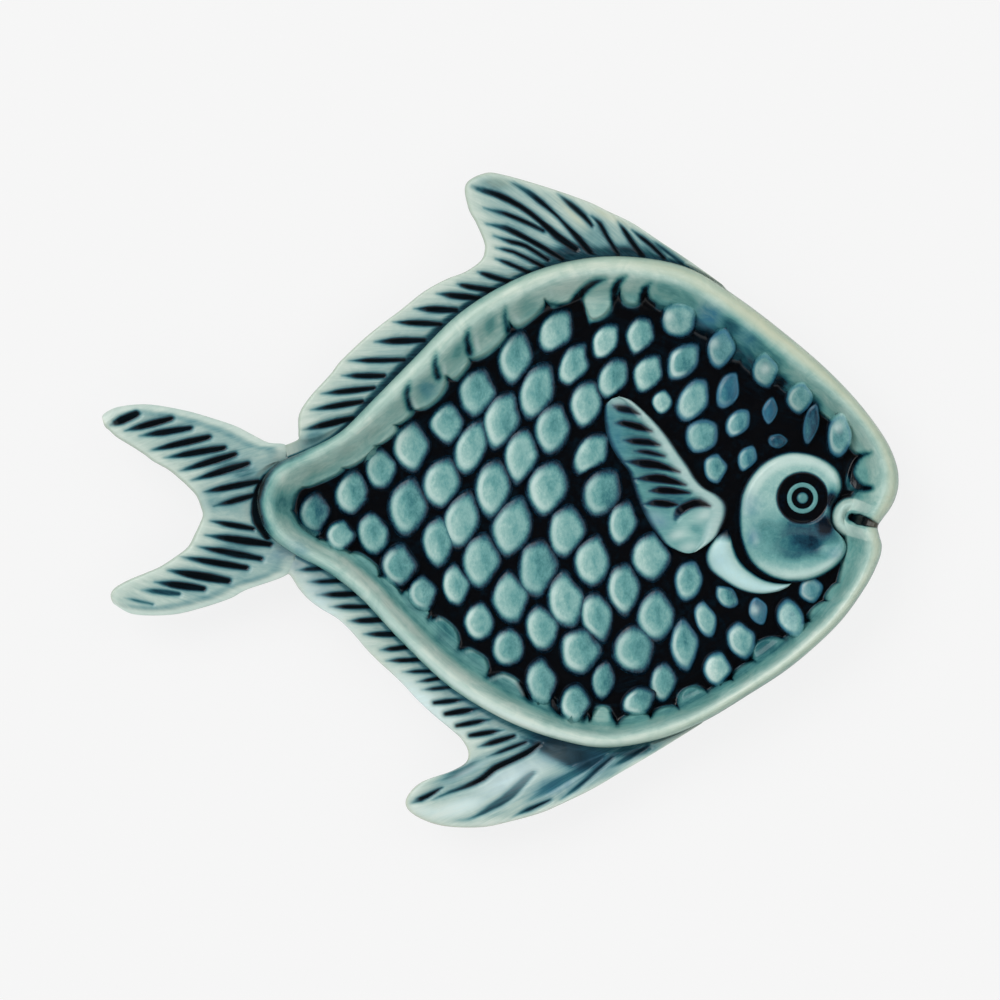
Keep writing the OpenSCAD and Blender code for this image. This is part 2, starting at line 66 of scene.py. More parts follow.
# Outer line of the rim and edge of the floor, point for point, from the mouth over the back
RIM = [
    (474, -41), (481, -27), (489, -14), (496, 3), (500, 26), (497, 56), (482, 96), (449, 150),
    (407, 203), (357, 255), (301, 307), (244, 351), (188, 369), (125, 372), (60, 357), (0, 326),
    (-56, 281), (-110, 215), (-160, 153), (-201, 104), (-244, 76), (-281, 55), (-301, 24),
    (-305, -12), (-292, -50), (-261, -81), (-216, -111), (-175, -150), (-125, -215), (-65, -284),
    (0, -333), (63, -363), (128, -378), (194, -365), (251, -336), (307, -294), (363, -249),
    (420, -189), (456, -134), (474, -95), (479, -72), (476, -55)]
FLOOR = [
    (431, -41), (432, -27), (436, -14), (442, 5), (449, 27), (450, 55), (439, 92), (412, 127),
    (373, 159), (326, 194), (278, 235), (228, 278), (178, 299), (125, 305), (75, 296), (25, 264),
    (-20, 226), (-68, 175), (-113, 130), (-160, 85), (-201, 49), (-236, 27), (-252, 11),
    (-256, -11), (-248, -37), (-223, -58), (-188, -81), (-148, -122), (-105, -177), (-48, -240),
    (13, -287), (70, -320), (128, -336), (185, -325), (238, -305), (288, -270), (338, -229),
    (388, -178), (419, -131), (431, -95), (435, -73), (434, -56)]
POINTS = len(RIM)

# The rim stands further out at the lower right, by this much round this point of its line
LOW_RIGHT_PX = 4.2
LOW_RIGHT_AT = 35.5
LOW_RIGHT_HALF = 4.2

# Section of the dish: share of the way from the rim's line to the floor's edge, then share of height
UNDERSIDE = [(0, 1), (0.25, 0.78), (0.5, 0.5), (0.75, 0.22), (1, 0)]
CREST_AND_WALL = [
    (0, 0.613), (0.015, 0.75), (0.045, 0.85), (0.1, 0.935), (0.18, 0.985), (0.28, 1), (0.38, 0.975),
    (0.48, 0.885), (0.58, 0.74), (0.68, 0.57), (0.78, 0.41), (0.88, 0.3), (0.96, 0.24), (1.04, 0.2),
    (1.2, 0.165), (1.4, 0.15)]
# Steps to each point of the rim's line, and where points lie: shares of the way from that line to
# the floor's edge on the rim and wall and under them, then shares of the way in from the wall's last
# point and from the floor's edge. The lean of the wall's end is measured along one of the columns,
# as a mean of some points, and counts up to a limit
WALL_END = 1.7
RIM_STEPS = 26
ACROSS_SHARES = np.concatenate([
    [0, 0.008, 0.02, 0.04, 0.07, 0.11, 0.16, 0.22, 0.28, 0.34, 0.4, 0.45],
    np.linspace(0.49, WALL_END, 52)])
UNDER_SHARES = [1, 0.75, 0.5, 0.25, 0.08, 0]
INNER_SHARES = [0.12, 0.35, 0.7]
FLAT_SHARES = [0.7, 0.35]
LEAN_COLUMN = 30
LEAN_SPAN = 5
LEAN_LIMIT = 2.5
SECTION_STEPS = 400
# The wall's way to the floor, the height of its carved end, how far that takes to rise, and more
# gently round one point of the rim's line, how softly it runs out, and its grooves and dark edge
WALL_REACH = 16.5 * MM
CARVE = 4.2 * MM
END_STEEP = 1.9 * MM
END_GENTLE = 4 * MM
GENTLE_AT = 10.2
GENTLE_HALF = 2.8
RUN_OUT = 1 * MM
WALL_GROOVE = 1.2 * MM
END_DARK = 2.8 * MM

# Scales that the wall ends in: the place of the notch before each one in points of the rim's line
# and the notch's share of the way from the rim, then the same of the scale's tip
BORDER = [
    (1.5, 1.0, 2.6, 1.0), (3.4, 0.95, 4.4, 1.26), (5.35, 0.84, 5.9, 1.1), (6.45, 0.8, 7.0, 1.05),
    (7.75, 0.95, 8.1, 1.05), (8.5, 0.95, 8.95, 1.08), (9.5, 0.98, 10.0, 1.1), (10.35, 1.0, 10.75, 1.08),
    (11.1, 0.92, 11.4, 1.0), (11.95, 0.72, 12.25, 1.08), (12.55, 0.68, 13.2, 1.45),
    (13.4, 0.8, 14.0, 0.98), (14.25, 0.72, 14.95, 1.0), (15.15, 0.78, 15.9, 1.08),
    (16.3, 0.9, 16.75, 1.05), (16.85, 0.8, 17.55, 1.14), (17.85, 0.93, 18.15, 1.04),
    (18.35, 0.95, 18.7, 1.18), (19.0, 1.08, 19.4, 1.2), (19.95, 1.05, 20.45, 1.14),
    (21.5, 1.0, 22.2, 0.96), (23.2, 0.88, 24.0, 0.93), (25.0, 0.9, 25.6, 1.0), (26.0, 1.0, 26.6, 1.24),
    (26.9, 0.95, 27.2, 1.2), (27.5, 1.2, 27.9, 1.66), (28.2, 1.2, 28.6, 1.6), (28.9, 1.08, 29.3, 1.43),
    (29.55, 0.92, 30.0, 1.34), (30.4, 0.9, 30.8, 1.4), (31.12, 0.9, 31.4, 1.42),
    (31.75, 0.72, 32.02, 1.5), (32.32, 0.68, 32.8, 1.12), (33.05, 0.7, 33.4, 1.05),
    (33.7, 0.82, 34.08, 1.45), (34.42, 0.92, 34.7, 0.98), (35.0, 0.8, 35.35, 1.08),
    (35.62, 0.95, 36.0, 1.5), (36.35, 0.95, 36.6, 1.0), (36.9, 0.78, 37.2, 1.1),
    (37.5, 0.85, 37.8, 1.05), (38.1, 0.9, 39.5, 1.02)]

# How the rim's tone lies round it, by place in points of the rim's line: partly the glaze's own
# pooling and partly painted light and shade by the way each part of the rim faces. First the share of
# the way to the floor's edge at which the glaze is thinnest and the tone lightest, then its depth
# outside that, at it, half way down the wall and at the wall's foot, then its cream tint and a painted
# highlight line along the crest
CREST_ROUND = [
    (0, 0.13), (6, 0.28), (10, 0.2), (16.5, 0.22), (19.5, 0.33), (23, 0.3), (26, 0.42), (29.5, 0.33),
    (33, 0.31), (36, 0.34), (38.5, 0.22), (40, 0.15), (42, 0.13)]
OUTER_ROUND = [
    (0, 0.46), (2, 0.34), (5, 0.42), (10, 0.38), (11, 0.48), (13, 0.3), (15, 0.44), (17, 0.24),
    (19.5, 0.42), (21.2, 0.85), (22, 1.1), (23.4, 0.95), (24.4, 0.35), (26, 0.46), (27, 0.25),
    (29, 0.32), (30, 0.06), (31.5, 0.14), (32.5, 0.28), (35, 0.5), (36, 0.5), (40, 0.38), (42, 0.46)]
CREST_THIN_AND_LIT_ROUND = [
    (0, 0.2), (6, 0.19), (10, 0.14), (13.5, 0.06), (16.5, 0.1), (19.5, 0.12), (21.6, 0.32),
    (23, 0.2), (26, 0.1), (29.5, 0.04), (32.5, 0.06), (36, 0.0), (40, 0.15), (42, 0.2)]
WALL_ROUND = [
    (0, 0.3), (3, 0.28), (6, 0.15), (8, 0.32), (10, 0.36), (13.5, 0.1), (16.5, 0.27), (19.5, 0.12),
    (23, 0.2), (26, 0.04), (28, 0.03), (29.5, 0.12), (31, 0.28), (32.5, 0.31), (36, 0.36),
    (40, 0.32), (42, 0.4)]
FOOT_ROUND = [
    (0, 0.52), (3, 0.52), (6, 0.3), (8, 0.5), (9, 0.72), (11, 0.74), (12, 0.4), (13.5, 0.18),
    (16.5, 0.26), (19.5, 0.26), (23, 0.52), (26, 0.42), (29.5, 0.5), (33, 0.48), (36, 0.58),
    (39, 0.32), (42, 0.48)]
CREAM_ROUND = [
    (0, 0.5), (6, 0.6), (10, 0.7), (13, 0.3), (16, 0.14), (20, 0.08), (26, 0), (31, 0.05), (33, 0.3),
    (36, 0.42), (39, 0.45), (42, 0.5)]
CREST_HIGHLIGHT_ROUND = [(0, 0), (26, 0), (28, 0.3), (30, 0.75), (32, 0.35), (34, 0), (42, 0)]
# Where the tones of the wall and of its foot are reached, the points between which the fins stand,
# the depth of the glaze underneath, and the radius round which its streaks are laid
WALL_TONE_SHARE = 0.68
FOOT_TONE_SHARE = 0.62
FINS_FROM = 10.3
FINS_TO = 34.1
UNDER_POOL = 0.4
FLOW_RADIUS = 17 * MM

# Fin lines: a point on the edge, then the place of the root in points of the rim's line
DORSAL = [
    (278, 330, 10.2), (238, 365, 10.6), (201, 395, 10.9), (173, 418, 11.2), (157, 429, 11.5),
    (134, 442, 11.8), (110, 456, 12.1), (61, 477, 12.4), (4, 497, 12.6), (-20, 499, 12.8),
    (-43, 482, 13), (-40, 447, 13.2), (-30, 423, 13.5), (-21, 398, 13.7), (-19, 383, 13.9),
    (-24, 366, 14.1), (-43, 349, 14.5), (-68, 337, 14.9), (-96, 318, 15.3), (-125, 290, 15.7),
    (-147, 270, 16.1), (-173, 244, 16.5), (-201, 211, 17), (-213, 192, 17.4), (-239, 157, 17.7),
    (-252, 131, 18), (-253, 105, 18.3), (-253, 99, 18.8), (-254, 92, 20.1), (-269, 84, 20.6)]
ANAL = [
    (-266, -113, 25.1), (-262, -117, 25.6), (-252, -136, 26.5), (-241, -151, 26.9),
    (-226, -165, 27.2), (-203, -182, 27.5), (-185, -203, 27.8), (-169, -226, 28.1),
    (-153, -246, 28.4), (-134, -267, 28.6), (-119, -285, 28.9), (-107, -301, 29.1),
    (-91, -320, 29.4), (-76, -336, 29.6), (-60, -352, 29.9), (-48, -366, 30.3), (-40, -384, 30.7),
    (-43, -401, 31), (-63, -415, 31.2), (-100, -432, 31.4), (-118, -458, 31.7), (-110, -479, 32),
    (-75, -497, 32.2), (-25, -500, 32.4), (13, -491, 32.6), (51, -478, 32.8), (76, -465, 33),
    (115, -442, 33.3), (153, -415, 33.6), (198, -383, 33.9), (252, -342, 34.4)]
# Tail lines from the upper tip to the lower tip: a point on the trailing edge, then a point on the
# leading edge or the place of the root
TAIL = [
    (-500, 121, -498, 134), (-495, 111, -476, 143), (-491, 107, -441, 146), (-481, 96, -396, 137),
    (-465, 84, -361, 125), (-447, 70, -332, 113), (-435, 59, -311, 100), (-416, 46, -291, 88),
    (-401, 31, -269, 84), (-392, 21, 20.6), (-381, 6, 21.5), (-375, -12, 22.3), (-373, -23, 23.2),
    (-376, -34, 23.9), (-383, -52, 24.7), (-392, -72, 25.1), (-409, -88, -266, -113),
    (-427, -102, -318, -137), (-446, -112, -338, -150), (-466, -122, -372, -164),
    (-482, -133, -411, -175), (-488, -142, -457, -175), (-489, -153, -481, -163)]
# Steps to each point of a fin's line, shares of the way from its edge to its root, on top and under
# it, how far in from the rim's line it stands, and the rounding of the tail's tips in points
FIN_STEPS = 20
FIN_ACROSS_SHARES = np.concatenate([
    [0.0, 0.004, 0.015, 0.04, 0.08], np.linspace(0.12, 0.94, 44), [0.98, 1.0]])
FIN_UNDER_SHARES = [1.0, 0.5, 0.06, 0.015]
FIN_SEAT_SHARE = 0.02
TAIL_SEAT_SHARE = 0.03
TAIL_TIP = 0.8
BLUNT = 0.004
GROOVE_DEPTH = 0.9 * MM
# A dark band along a fin's root: its width and how dark it is
ROOT_BAND_PX = 19
ROOT_DARK = 0.76

# Width of a straight groove along it, as shares of its length and of its width. A stroke starts
# faint and comes in over a share of its length, and is a little narrower than it was read
STROKE_SHARES = [(0, 0.3), (0.33, 0.8), (0.67, 0.95), (1, 0.7)]
FAINT_START = 0.45
FAINT_SHARE = 0.4
STROKE_TRIM_PX = 0.4
# Grooves as strokes in the photograph's pixels: outer end, inner end, width, darkness
DORSAL_STROKES = [
    (304, 430, 352, 418, 8, 1), (310.7, 410, 362, 401.5, 7, 1), (321, 393.8, 374, 388, 7, 1),
    (342, 375.8, 384, 375.8, 7, 1), (348, 360.7, 404, 359.8, 6, 1), (375, 341.8, 424, 340, 8, 1),
    (393.4, 322, 440, 324, 7, 1), (414.4, 308.7, 456, 310, 8, 1), (437, 293.7, 478, 298, 8, 1),
    ((458, 284, 3), (470, 287, 6), (498, 291, 7), 1), ((478, 272, 3), (490, 276, 6), (514, 283, 6), 1),
    ((496, 259, 3), (510, 264, 5), (530, 273, 5), 0.95), ((496, 248, 3), (514, 252, 4), (542, 266, 5), 1),
    ((494, 236, 3), (512, 242, 5), (526, 246, 5), (548, 260, 5), 1),
    ((487, 224, 3), (506, 228, 6), (526, 238, 6), (544, 248, 6), (562, 259, 5), 1),
    ((484, 208, 3), (506, 214, 5), (526, 222, 5), (544, 231, 4), 0.95),
    ((473, 187, 4), (482, 190, 6), (498, 195, 7), (520, 206, 6), (540, 221, 6), (557, 236, 8),
     (576, 249, 7), 1),
    ((513, 183, 3), (528, 192, 6), (541, 202, 6), (554, 213, 4), (564, 223, 4), (578, 238, 7),
     (590, 252, 7), 0.95),
    ((558, 194, 3), (570, 204, 6), (584, 216, 6), (592, 226, 3), 0.9),
    ((592, 216, 3), (600, 224, 5), (608, 238, 5), (618, 254, 5), 0.95),
    ((618, 222, 3), (624, 230, 5), (632, 242, 6), (642, 255, 6), 0.95),
    ((632, 230, 3), (642, 238, 5), (652, 246, 5), (664, 258, 5), 0.95),
    ((652, 240, 2), (662, 248, 4), (682, 263, 5), 0.6)]
ANAL_GROOVES = [
    (296, 570.3, 328, 567.7, 6, 0.9), (307.7, 582, 344, 580.7, 6, 1), (316.8, 595, 360, 593.8, 7, 1),
    (329.8, 606.8, 370, 606.8, 6, 1), (348, 621, 384, 619.8, 7, 1), (363.7, 634.2, 402, 634.2, 7, 1),
    (380, 650, 412, 646.7, 6, 1), (386.4, 661, 426, 659.5, 6, 1), (402.5, 672, 437, 670.7, 5, 1),
    (417, 682, 447, 677, 5, 1), (421.7, 690, 454, 686.8, 5, 0.9), (467, 699, 434.5, 702.8, 6, 1),
    (481, 708, 445.7, 714, 7, 1), (492, 719, 457, 725.8, 6, 1), (504, 730, 470, 735.5, 6, 1),
    (478, 747, 514, 736, 6, 1), (487, 757, 526, 742, 5, 0.9)]
ANAL_STROKES = [
    ((412, 803, 3), (421, 799, 6), (433, 793, 5), (441, 788, 2), 0.95),
    ((434, 799, 2), (450, 792, 4), (467, 786, 5), (483, 778, 7), (495, 768, 7), (512, 760, 7), (528, 752, 7),
     (539, 744, 5), 1),
    ((448, 821, 2), (465, 820, 3), (478, 815, 4), (490, 808, 7), (502, 801, 9), (512, 793, 10), (525, 780, 8),
     (533, 773, 5), 0.62),
    ((530, 800, 4), (545, 790, 9), (560, 781, 9), (575, 773, 8), (590, 764, 8), (603, 756, 4), 0.5),
    ((514, 816, 2), (532, 808, 5), (550, 800, 3), 0.8),
    ((560, 800, 2), (575, 789, 5), (588, 778, 5), (599, 768, 5), (612, 757, 4), 0.7),
    ((612, 767, 3), (628, 758, 6), (648, 746, 5), 0.6),
    ((519, 735, 3), (534, 743, 6), (552, 753, 8), (570, 763, 8), 0.5),
    ((545, 742, 4), (560, 750, 12), (574, 757, 14), (590, 754, 10), (608, 751, 4), 0.45)]
TAIL_STROKES = [
    ((111, 425, 4), (122, 420, 9), (136, 414, 8), 1), (125, 430.8, 171, 418.5, 8, 1),
    (139.5, 436, 190.4, 428, 8, 0.9), (151, 450.4, 208.6, 437, 8, 1), (164.3, 458, 224, 447.8, 8, 1),
    (180, 471, 234.7, 454.3, 8, 1), (191.7, 480.4, 247.7, 463.4, 8, 1), (203.4, 492, 258, 481.5, 8, 1),
    (213.8, 506.4, 256, 494.5, 7, 1), (210, 520.8, 253, 528.8, 7, 1), (204.7, 535, 270, 544.2, 9, 1),
    (198, 546.8, 260.8, 558.6, 8, 1), (181, 557, 246.4, 567.7, 8, 1), (168, 570.3, 228, 580.7, 10, 1),
    (155, 582, 203.4, 588.6, 9, 0.95), (142, 589.9, 178.6, 593.8, 7, 0.65),
    (123.9, 597.7, 152.6, 604.2, 4, 0.55),
    ((286, 463, 5), (273, 472, 9), (262, 486, 12), (257, 504, 12), (258, 520, 12), (267, 537, 7), 1)]
SIDE_STROKES = [
    ((613, 405, 2), (620, 408, 7), (630, 410, 7), (640, 414, 2), 0.85),
    ((616, 423, 2), (624, 423, 6), (640, 427, 7), (652, 431, 2), 1),
    ((624, 440, 2), (634, 441, 6), (648, 442, 7), (660, 445, 2), 1),
    ((635, 451, 2), (648, 452, 5), (665, 456, 2), 0.9),
    ((625, 461, 2), (642, 463, 8), (658, 465, 8), (680, 472, 2), 1),
    ((634, 479, 2), (650, 478, 7), (664, 479, 9), (686, 485, 2), 1),
    ((650, 491, 2), (660, 490, 7), (674, 491, 7), (690, 493, 2), 1),
    ((644, 504, 2), (656, 503, 7), (668, 504, 7), (678, 505, 2), 1),
    ((676, 519, 5), (680, 511, 9), (690, 505, 8), (700, 503, 8), (710, 506, 3), 1)]

# Grooves on the wall, between the scales that lie on it, and pale strokes there: partly pale swirls
# of the glaze and partly painted highlights along the edges of those scales
WALL_STROKES = [
    ((605, 280, 2), (596, 282, 4), (587, 287, 5), (579, 296, 6), (571, 307, 6), 1),
    ((626, 277, 1), (619, 282, 4), (615, 290, 5), (615, 299, 5), (617, 309, 6), 1),
    ((650, 284, 2), (645, 290, 5), (645, 300, 8), (652, 305, 7), 1),
    ((547, 302, 1), (557, 305, 2), (568, 305, 3), (575, 302, 5), 0.6),
    ((506, 307, 1), (505, 318, 3), (508, 330, 5), 0.6), ((469, 328, 1), (467, 340, 4), (470, 353, 5), 0.75),
    ((437, 353, 1), (435, 365, 3), (438, 377, 5), 0.75), ((410, 382, 1), (407, 394, 4), (410, 408, 5), 0.75),
    ((402, 592, 3), (407, 580, 5), (414, 571, 5), 1), ((429, 621, 2), (437, 614, 5), 1),
    ((458, 650, 2), (468, 644, 5), 1), ((486, 678, 2), (498, 671, 5), 1),
    ((532, 702, 2), (527, 696, 4), (522, 684, 6), 1), ((563, 717, 2), (554, 706, 6), (556, 690, 7), 1),
    ((583, 722, 2), (587, 710, 5), 0.9), ((617, 724, 2), (614, 714, 5), 0.9),
    ((870, 453, 2), (857, 458, 5), (851, 472, 6), (858, 486, 7), (870, 488, 3), 1)]
WALL_PALE_AND_HIGHLIGHTS = [
    ((411, 394, 3), (414, 403, 5), (418, 409, 3), 0.6), ((444, 364, 3), (445, 373, 4), 0.6),
    ((476, 333, 4), (477, 344, 5), (479, 350, 3), 0.55), ((512, 314, 4), (518, 320, 4), 0.4),
    ((550, 289, 3), (552, 295, 4), 0.3), ((411, 590, 2), (418, 584, 4), (427, 585, 3), 0.4),
    ((436, 621, 2), (443, 618, 4), (451, 622, 3), 0.4), ((466, 653, 2), (475, 650, 4), (484, 655, 3), 0.4),
    ((490, 681, 3), (504, 676, 4), (517, 684, 4), (523, 695, 3), 0.35), ((391, 560, 4), (402, 557, 4), 0.3)]

# Outline of the side fin in pixels: a point on the trailing edge, then one on the leading edge. Then
# the rounding of its tip in points, its points across, its height and the depth of its grooves
SIDE_FIN_PX = [
    (611, 399, 620, 396), (605, 405, 634, 401), (604, 418, 655, 420), (606, 434, 669, 436),
    (612, 449, 680, 452), (620, 461, 690, 466), (628, 472, 698, 479), (632, 486, 707, 488),
    (636, 499, 720, 495), (643, 513, 728, 504), (650, 526, 728, 515), (658, 538, 723, 528),
    (667, 548, 716, 540), (678, 556, 706, 550)]
SIDE_TIP = 1.6
SIDE_COLUMNS = 60
SIDE_RISE = 3.5 * MM
SIDE_GROOVE = 1 * MM
# The same of the gill cover: a point on the outer edge, then one on the inner edge
GILL_PX = [
    (725, 529, 730, 529), (713, 540, 734, 542), (705, 554, 739, 555), (708, 569, 746, 565),
    (722, 581, 756, 573), (740, 591, 767, 579), (758, 595, 778, 582), (776, 593, 788, 583),
    (788, 588, 793, 583)]
GILL_TIP = 1.2
GILL_COLUMNS = 32
GILL_RISE = 3.6 * MM
# Steps to each pair of points of the two, and how far all relief goes down into the floor
RELIEF_STEPS = 30
BURIED = 0.2 * MM

# Cheek and eye in pixels, and where the cheek's points lie: shares of the way in from its outline to
# the socket, to its middle under it, and from the socket to the eye's middle
CHEEK_PX = (790, 517)
CHEEK_LINE_PX = [
    (834, 508), (840, 497), (844, 486), (841, 472), (830, 461), (812, 453), (790, 451), (768, 459),
    (752, 474), (742, 493), (739, 513), (740, 534), (746, 554), (757, 569), (773, 579), (792, 583),
    (812, 581), (830, 573), (843, 562), (849, 551), (846, 541), (837, 531), (833, 520)]
EYE_PX = (803, 498)
SOCKET_PX = 24.5
EYE_RING_PX = 13.2
EYE_WIRE_PX = 2.6
PUPIL_PX = 6.2
SOCKET_DEPTH = 0.7 * MM
SOCKET_EDGE_PX = 4
PUPIL_HEIGHT = 1.2 * MM
PUPIL_FOOT = 0.1 * MM
EYE_SIDES = 128
CHEEK_HEIGHT = 5 * MM
CHEEK_ROUND_PX = 9
HOLLOW_DEPTH = 1.7 * MM
HOLLOW_LEAST = 0.6 * MM
CHEEK_STEPS = 10
CHEEK_SHARES = np.concatenate([np.linspace(0, 0.2, 12), np.linspace(0.23, 0.96, 30), [0.985, 1.0]])
CHEEK_BASE_SHARES = [0.65, 0.3, 0]
CHEEK_BOWL_SHARES = [0.03, 0.1, 0.4, 0.7]

# Scales in pixels: place, width, length, lean to the right in degrees, and depth of the glaze
SCALES_PX = [
    (314, 514, 25, 34, -5, 0.16), (340, 536, 22, 22, 0, 0.1), (351, 494, 28, 38, 0, 0.05),
    (380, 470, 27, 35, -8, 0), (411, 448, 32, 46, -6, 0), (446, 424, 31, 37, 2, 0.02),
    (476, 393, 35, 47, 12, 0.03), (515, 358, 30, 51, 10, 0.05), (555, 332, 31, 44, 26, 0.05),
    (372, 535, 25, 38, -10, -0.04), (407, 508, 35, 55, 2, 0.03), (441, 484, 37, 47, 7, 0),
    (471, 448, 29, 56, 16, 0), (501, 421, 33, 56, 15, 0), (536, 393, 31, 55, 18, 0),
    (573, 366, 26, 42, 20, 0), (605, 342, 22, 38, 27, 0), (640, 336, 25, 37, 20, 0),
    (398, 567, 32, 36, 0, 0.12), (437, 543, 29, 47, 0, 0.03), (461, 521, 35, 56, 9, 0),
    (492, 489, 34, 57, 7, 0), (520, 457, 31, 54, 6, 0), (552, 430, 32, 51, 8, -0.04),
    (586, 405, 30, 46, 9, -0.02), (613, 379, 26, 41, 25, 0), (648, 374, 27, 38, 22, -0.03),
    (683, 362, 28, 43, 33, 0.05), (720, 350, 26, 38, 4, 0.14), (678, 322, 33, 32, 40, 0.02),
    (455, 587, 25, 39, -8, 0), (481, 562, 35, 50, 3, 0), (512, 529, 38, 57, 11, 0.05),
    (547, 489, 38, 55, 10, 0.02), (591, 454, 27, 45, 36, 0), (662, 403, 18, 22, 0, 0),
    (693, 401, 29, 47, 27, 0.04), (728, 392, 20, 36, 17, 0.32), (764, 372, 24, 31, -10, 0.05),
    (799, 399, 24, 29, 0, 0.02), (770, 411, 13, 24, 8, 0.62), (839, 437, 23, 40, 0, 0),
    (479, 623, 28, 37, 0, 0), (510, 599, 34, 50, -13, 0), (537, 569, 37, 56, 4, 0),
    (566, 533, 36, 50, 3, 0.07), (602, 494, 36, 48, 24, 0.07), (702, 437, 32, 37, 36, 0.08),
    (738, 424, 21, 29, 33, 0.1), (508, 649, 30, 36, -5, 0.03), (541, 630, 31, 44, -13, -0.03),
    (565, 602, 34, 57, -12, 0), (592, 563, 34, 48, 2, 0), (622, 525, 27, 43, 9, 0.05),
    (715, 469, 22, 28, -5, 0.05), (747, 459, 17, 24, 20, 0.08), (541, 683, 29, 42, -6, 0.1),
    (580, 652, 40, 44, 0, 0), (597, 618, 30, 48, -12, -0.03), (624, 590, 31, 50, 0, 0.02),
    (650, 558, 38, 46, -3, -0.02), (574, 704, 28, 34, 0, 0.02), (603, 682, 21, 36, 5, 0.14),
    (634, 651, 43, 45, -20, 0.05), (656, 617, 37, 51, -2, -0.04), (688, 582, 28, 41, 8, -0.03),
    (638, 702, 33, 24, -25, 0), (663, 684, 25, 36, 0, 0.05), (684, 646, 27, 51, -7, 0.05),
    (706, 621, 20, 36, -18, 0), (727, 598, 17, 25, -50, 0.12), (717, 670, 26, 32, 3, -0.03),
    (741, 642, 28, 35, -18, -0.03), (758, 612, 17, 26, -20, 0.34), (790, 619, 25, 38, -20, -0.04),
    (811, 591, 22, 24, -10, 0.02), (422, 594, 24, 30, -12, 0.12), (811, 425, 12, 40, 10, 0.5),
    (778, 442, 18, 12, 0, 0.52)]
# Outline of a scale in halves of its width and length: pointed above, right and below, round left
SCALE_OUTLINE = [
    (0.14, 1.0), (0.64, 0.62), (0.97, 0.05), (0.64, -0.58), (0.04, -1.0), (-0.64, -0.72), (-0.99, -0.06),
    (-0.68, 0.66)]
BLUE_SCALES = [
    (809, 590, 12, 12, 0, 0.3), (747, 458, 10, 12, 0, 0.15), (727, 391, 10, 12, 0, 0.3),
    (770, 411, 10, 12, 0, 0.3), (757, 612, 10, 12, 0, 0.3), (738, 423, 10, 12, 0, 0.1),
    (720, 350, 10, 12, 0, 0.15)]
# Painted highlights: bright spots on scales that lie against the wall, and their half width
WALL_GLINTS = [(668, 316), (713, 343), (765, 369), (838, 427), (755, 610)]
GLINT_PX = 5
# What grows or fades across the scales: its amount, the pixel column where it starts, and the way
# over which it comes in, to the left where that is negative
GROW_LEFT = (1.8, 460, -90)
SHRINK_RIGHT = (0.9, 610, 80)
BLUE_RIGHT = (0.1, 630, 120)
BLUE_HALO = (0.4, 640, 70)
BLUE_ROW_PX = 450
BLUE_REACH_PX = 400
# Height of a scale, what it keeps free of the ground and how far its skirt goes under, how much
# larger and further it lies than it was read, the glaze at its foot, and its rings of points
SCALE_RISE = 2.2 * MM
SCALE_CLEAR = 0.35 * MM
SCALE_SINK = 0.4 * MM
SCALE_GROW_PX = 2.8
SCALE_SHIFT_PX = (1, -1)
SKIRT_DARK = 0.86
SCALE_RING_SHARES = [0.12, 0.25, 0.38, 0.5, 0.61, 0.71, 0.79, 0.86, 0.92, 0.97, 1.02, 1.07, 1.12]
SCALE_SIDES = 44
SEED = 7

# Soft patches of the glaze in pixels: place, half width, half height, turn and depth of the glaze
# Patches on the wall: partly the glaze's own tone and partly painted shade round the scales that lie on it
WALL_PATCHES = [
    (423, 602, 9, 9, 0, 0.58), (444, 632, 9, 9, 0, 0.55), (476, 662, 8, 8, 0, 0.5),
    (508, 687, 13, 8, -20, 0.52), (396, 574, 9, 9, 0, 0.4), (601, 716, 10, 8, 0, 0.26),
    (490, 325, 5, 9, -20, 0.46), (458, 352, 5, 9, -20, 0.42), (427, 390, 9, 9, 0, 0.4),
    (529, 307, 10, 7, 20, 0.36), (666, 291, 14, 7, -15, 0.42), (686, 300, 15, 7, -30, 0.48),
    (709, 315, 10, 7, -30, 0.38), (781, 381, 7, 6, -40, 0.9), (704, 337, 10, 7, -20, 0.95),
    (731, 327, 12, 8, -40, 0.68), (744, 356, 8, 11, 40, 0.7), (757, 343, 16, 7, -38, 0.52),
    (775, 361, 10, 8, -40, 0.5), (814, 408, 7, 9, 0, 0.8), (691, 336, 8, 5, 0, 0.95),
    (283, 505, 9, 12, 0, 0.5), (290, 478, 14, 10, 0, 0.12)]
WALL_BLUES = [
    (709, 315, 12, 9, -30, 0.7), (298, 547, 12, 7, -30, 0.3), (427, 389, 9, 8, 0, 0.35),
    (745, 338, 14, 8, -40, 0.3)]
DORSAL_PATCHES = [
    (494, 184, 18, 6, -10, 0.42), (560, 215, 30, 14, -25, 0.16), (312, 439, 18, 8, 25, 0.5),
    (566, 253, 26, 8, 12, 0.74), (612, 251, 44, 6, 0, 0.74), (596, 236, 12, 9, -40, 0.4)]
DORSAL_CREAMS = [(498, 183, 15, 5, -8, 0.3), (573, 213, 18, 4, -48, 0.5), (610, 216, 20, 4, -28, 0.4)]
ANAL_PATCHES = [
    (515, 778, 38, 12, 24, 0.12), (450, 811, 34, 9, 15, 0.06), (462, 770, 24, 6, 28, 0.56),
    (520, 806, 22, 5, 18, 0.2), (592, 760, 18, 7, 10, 0.6), (628, 752, 24, 5, 8, 0.7),
    (564, 751, 34, 12, -22, 0.98), (546, 784, 14, 6, 30, 0.4)]
ANAL_PALE = [
    (512, 778, 40, 12, 24, 0.8), (462, 806, 30, 8, 17, 0.7), (430, 812, 20, 6, -10, 0.5),
    (340, 632, 60, 12, -52, 0.9), (424, 704, 50, 12, -40, 0.9), (470, 770, 24, 3, 28, 0.4)]
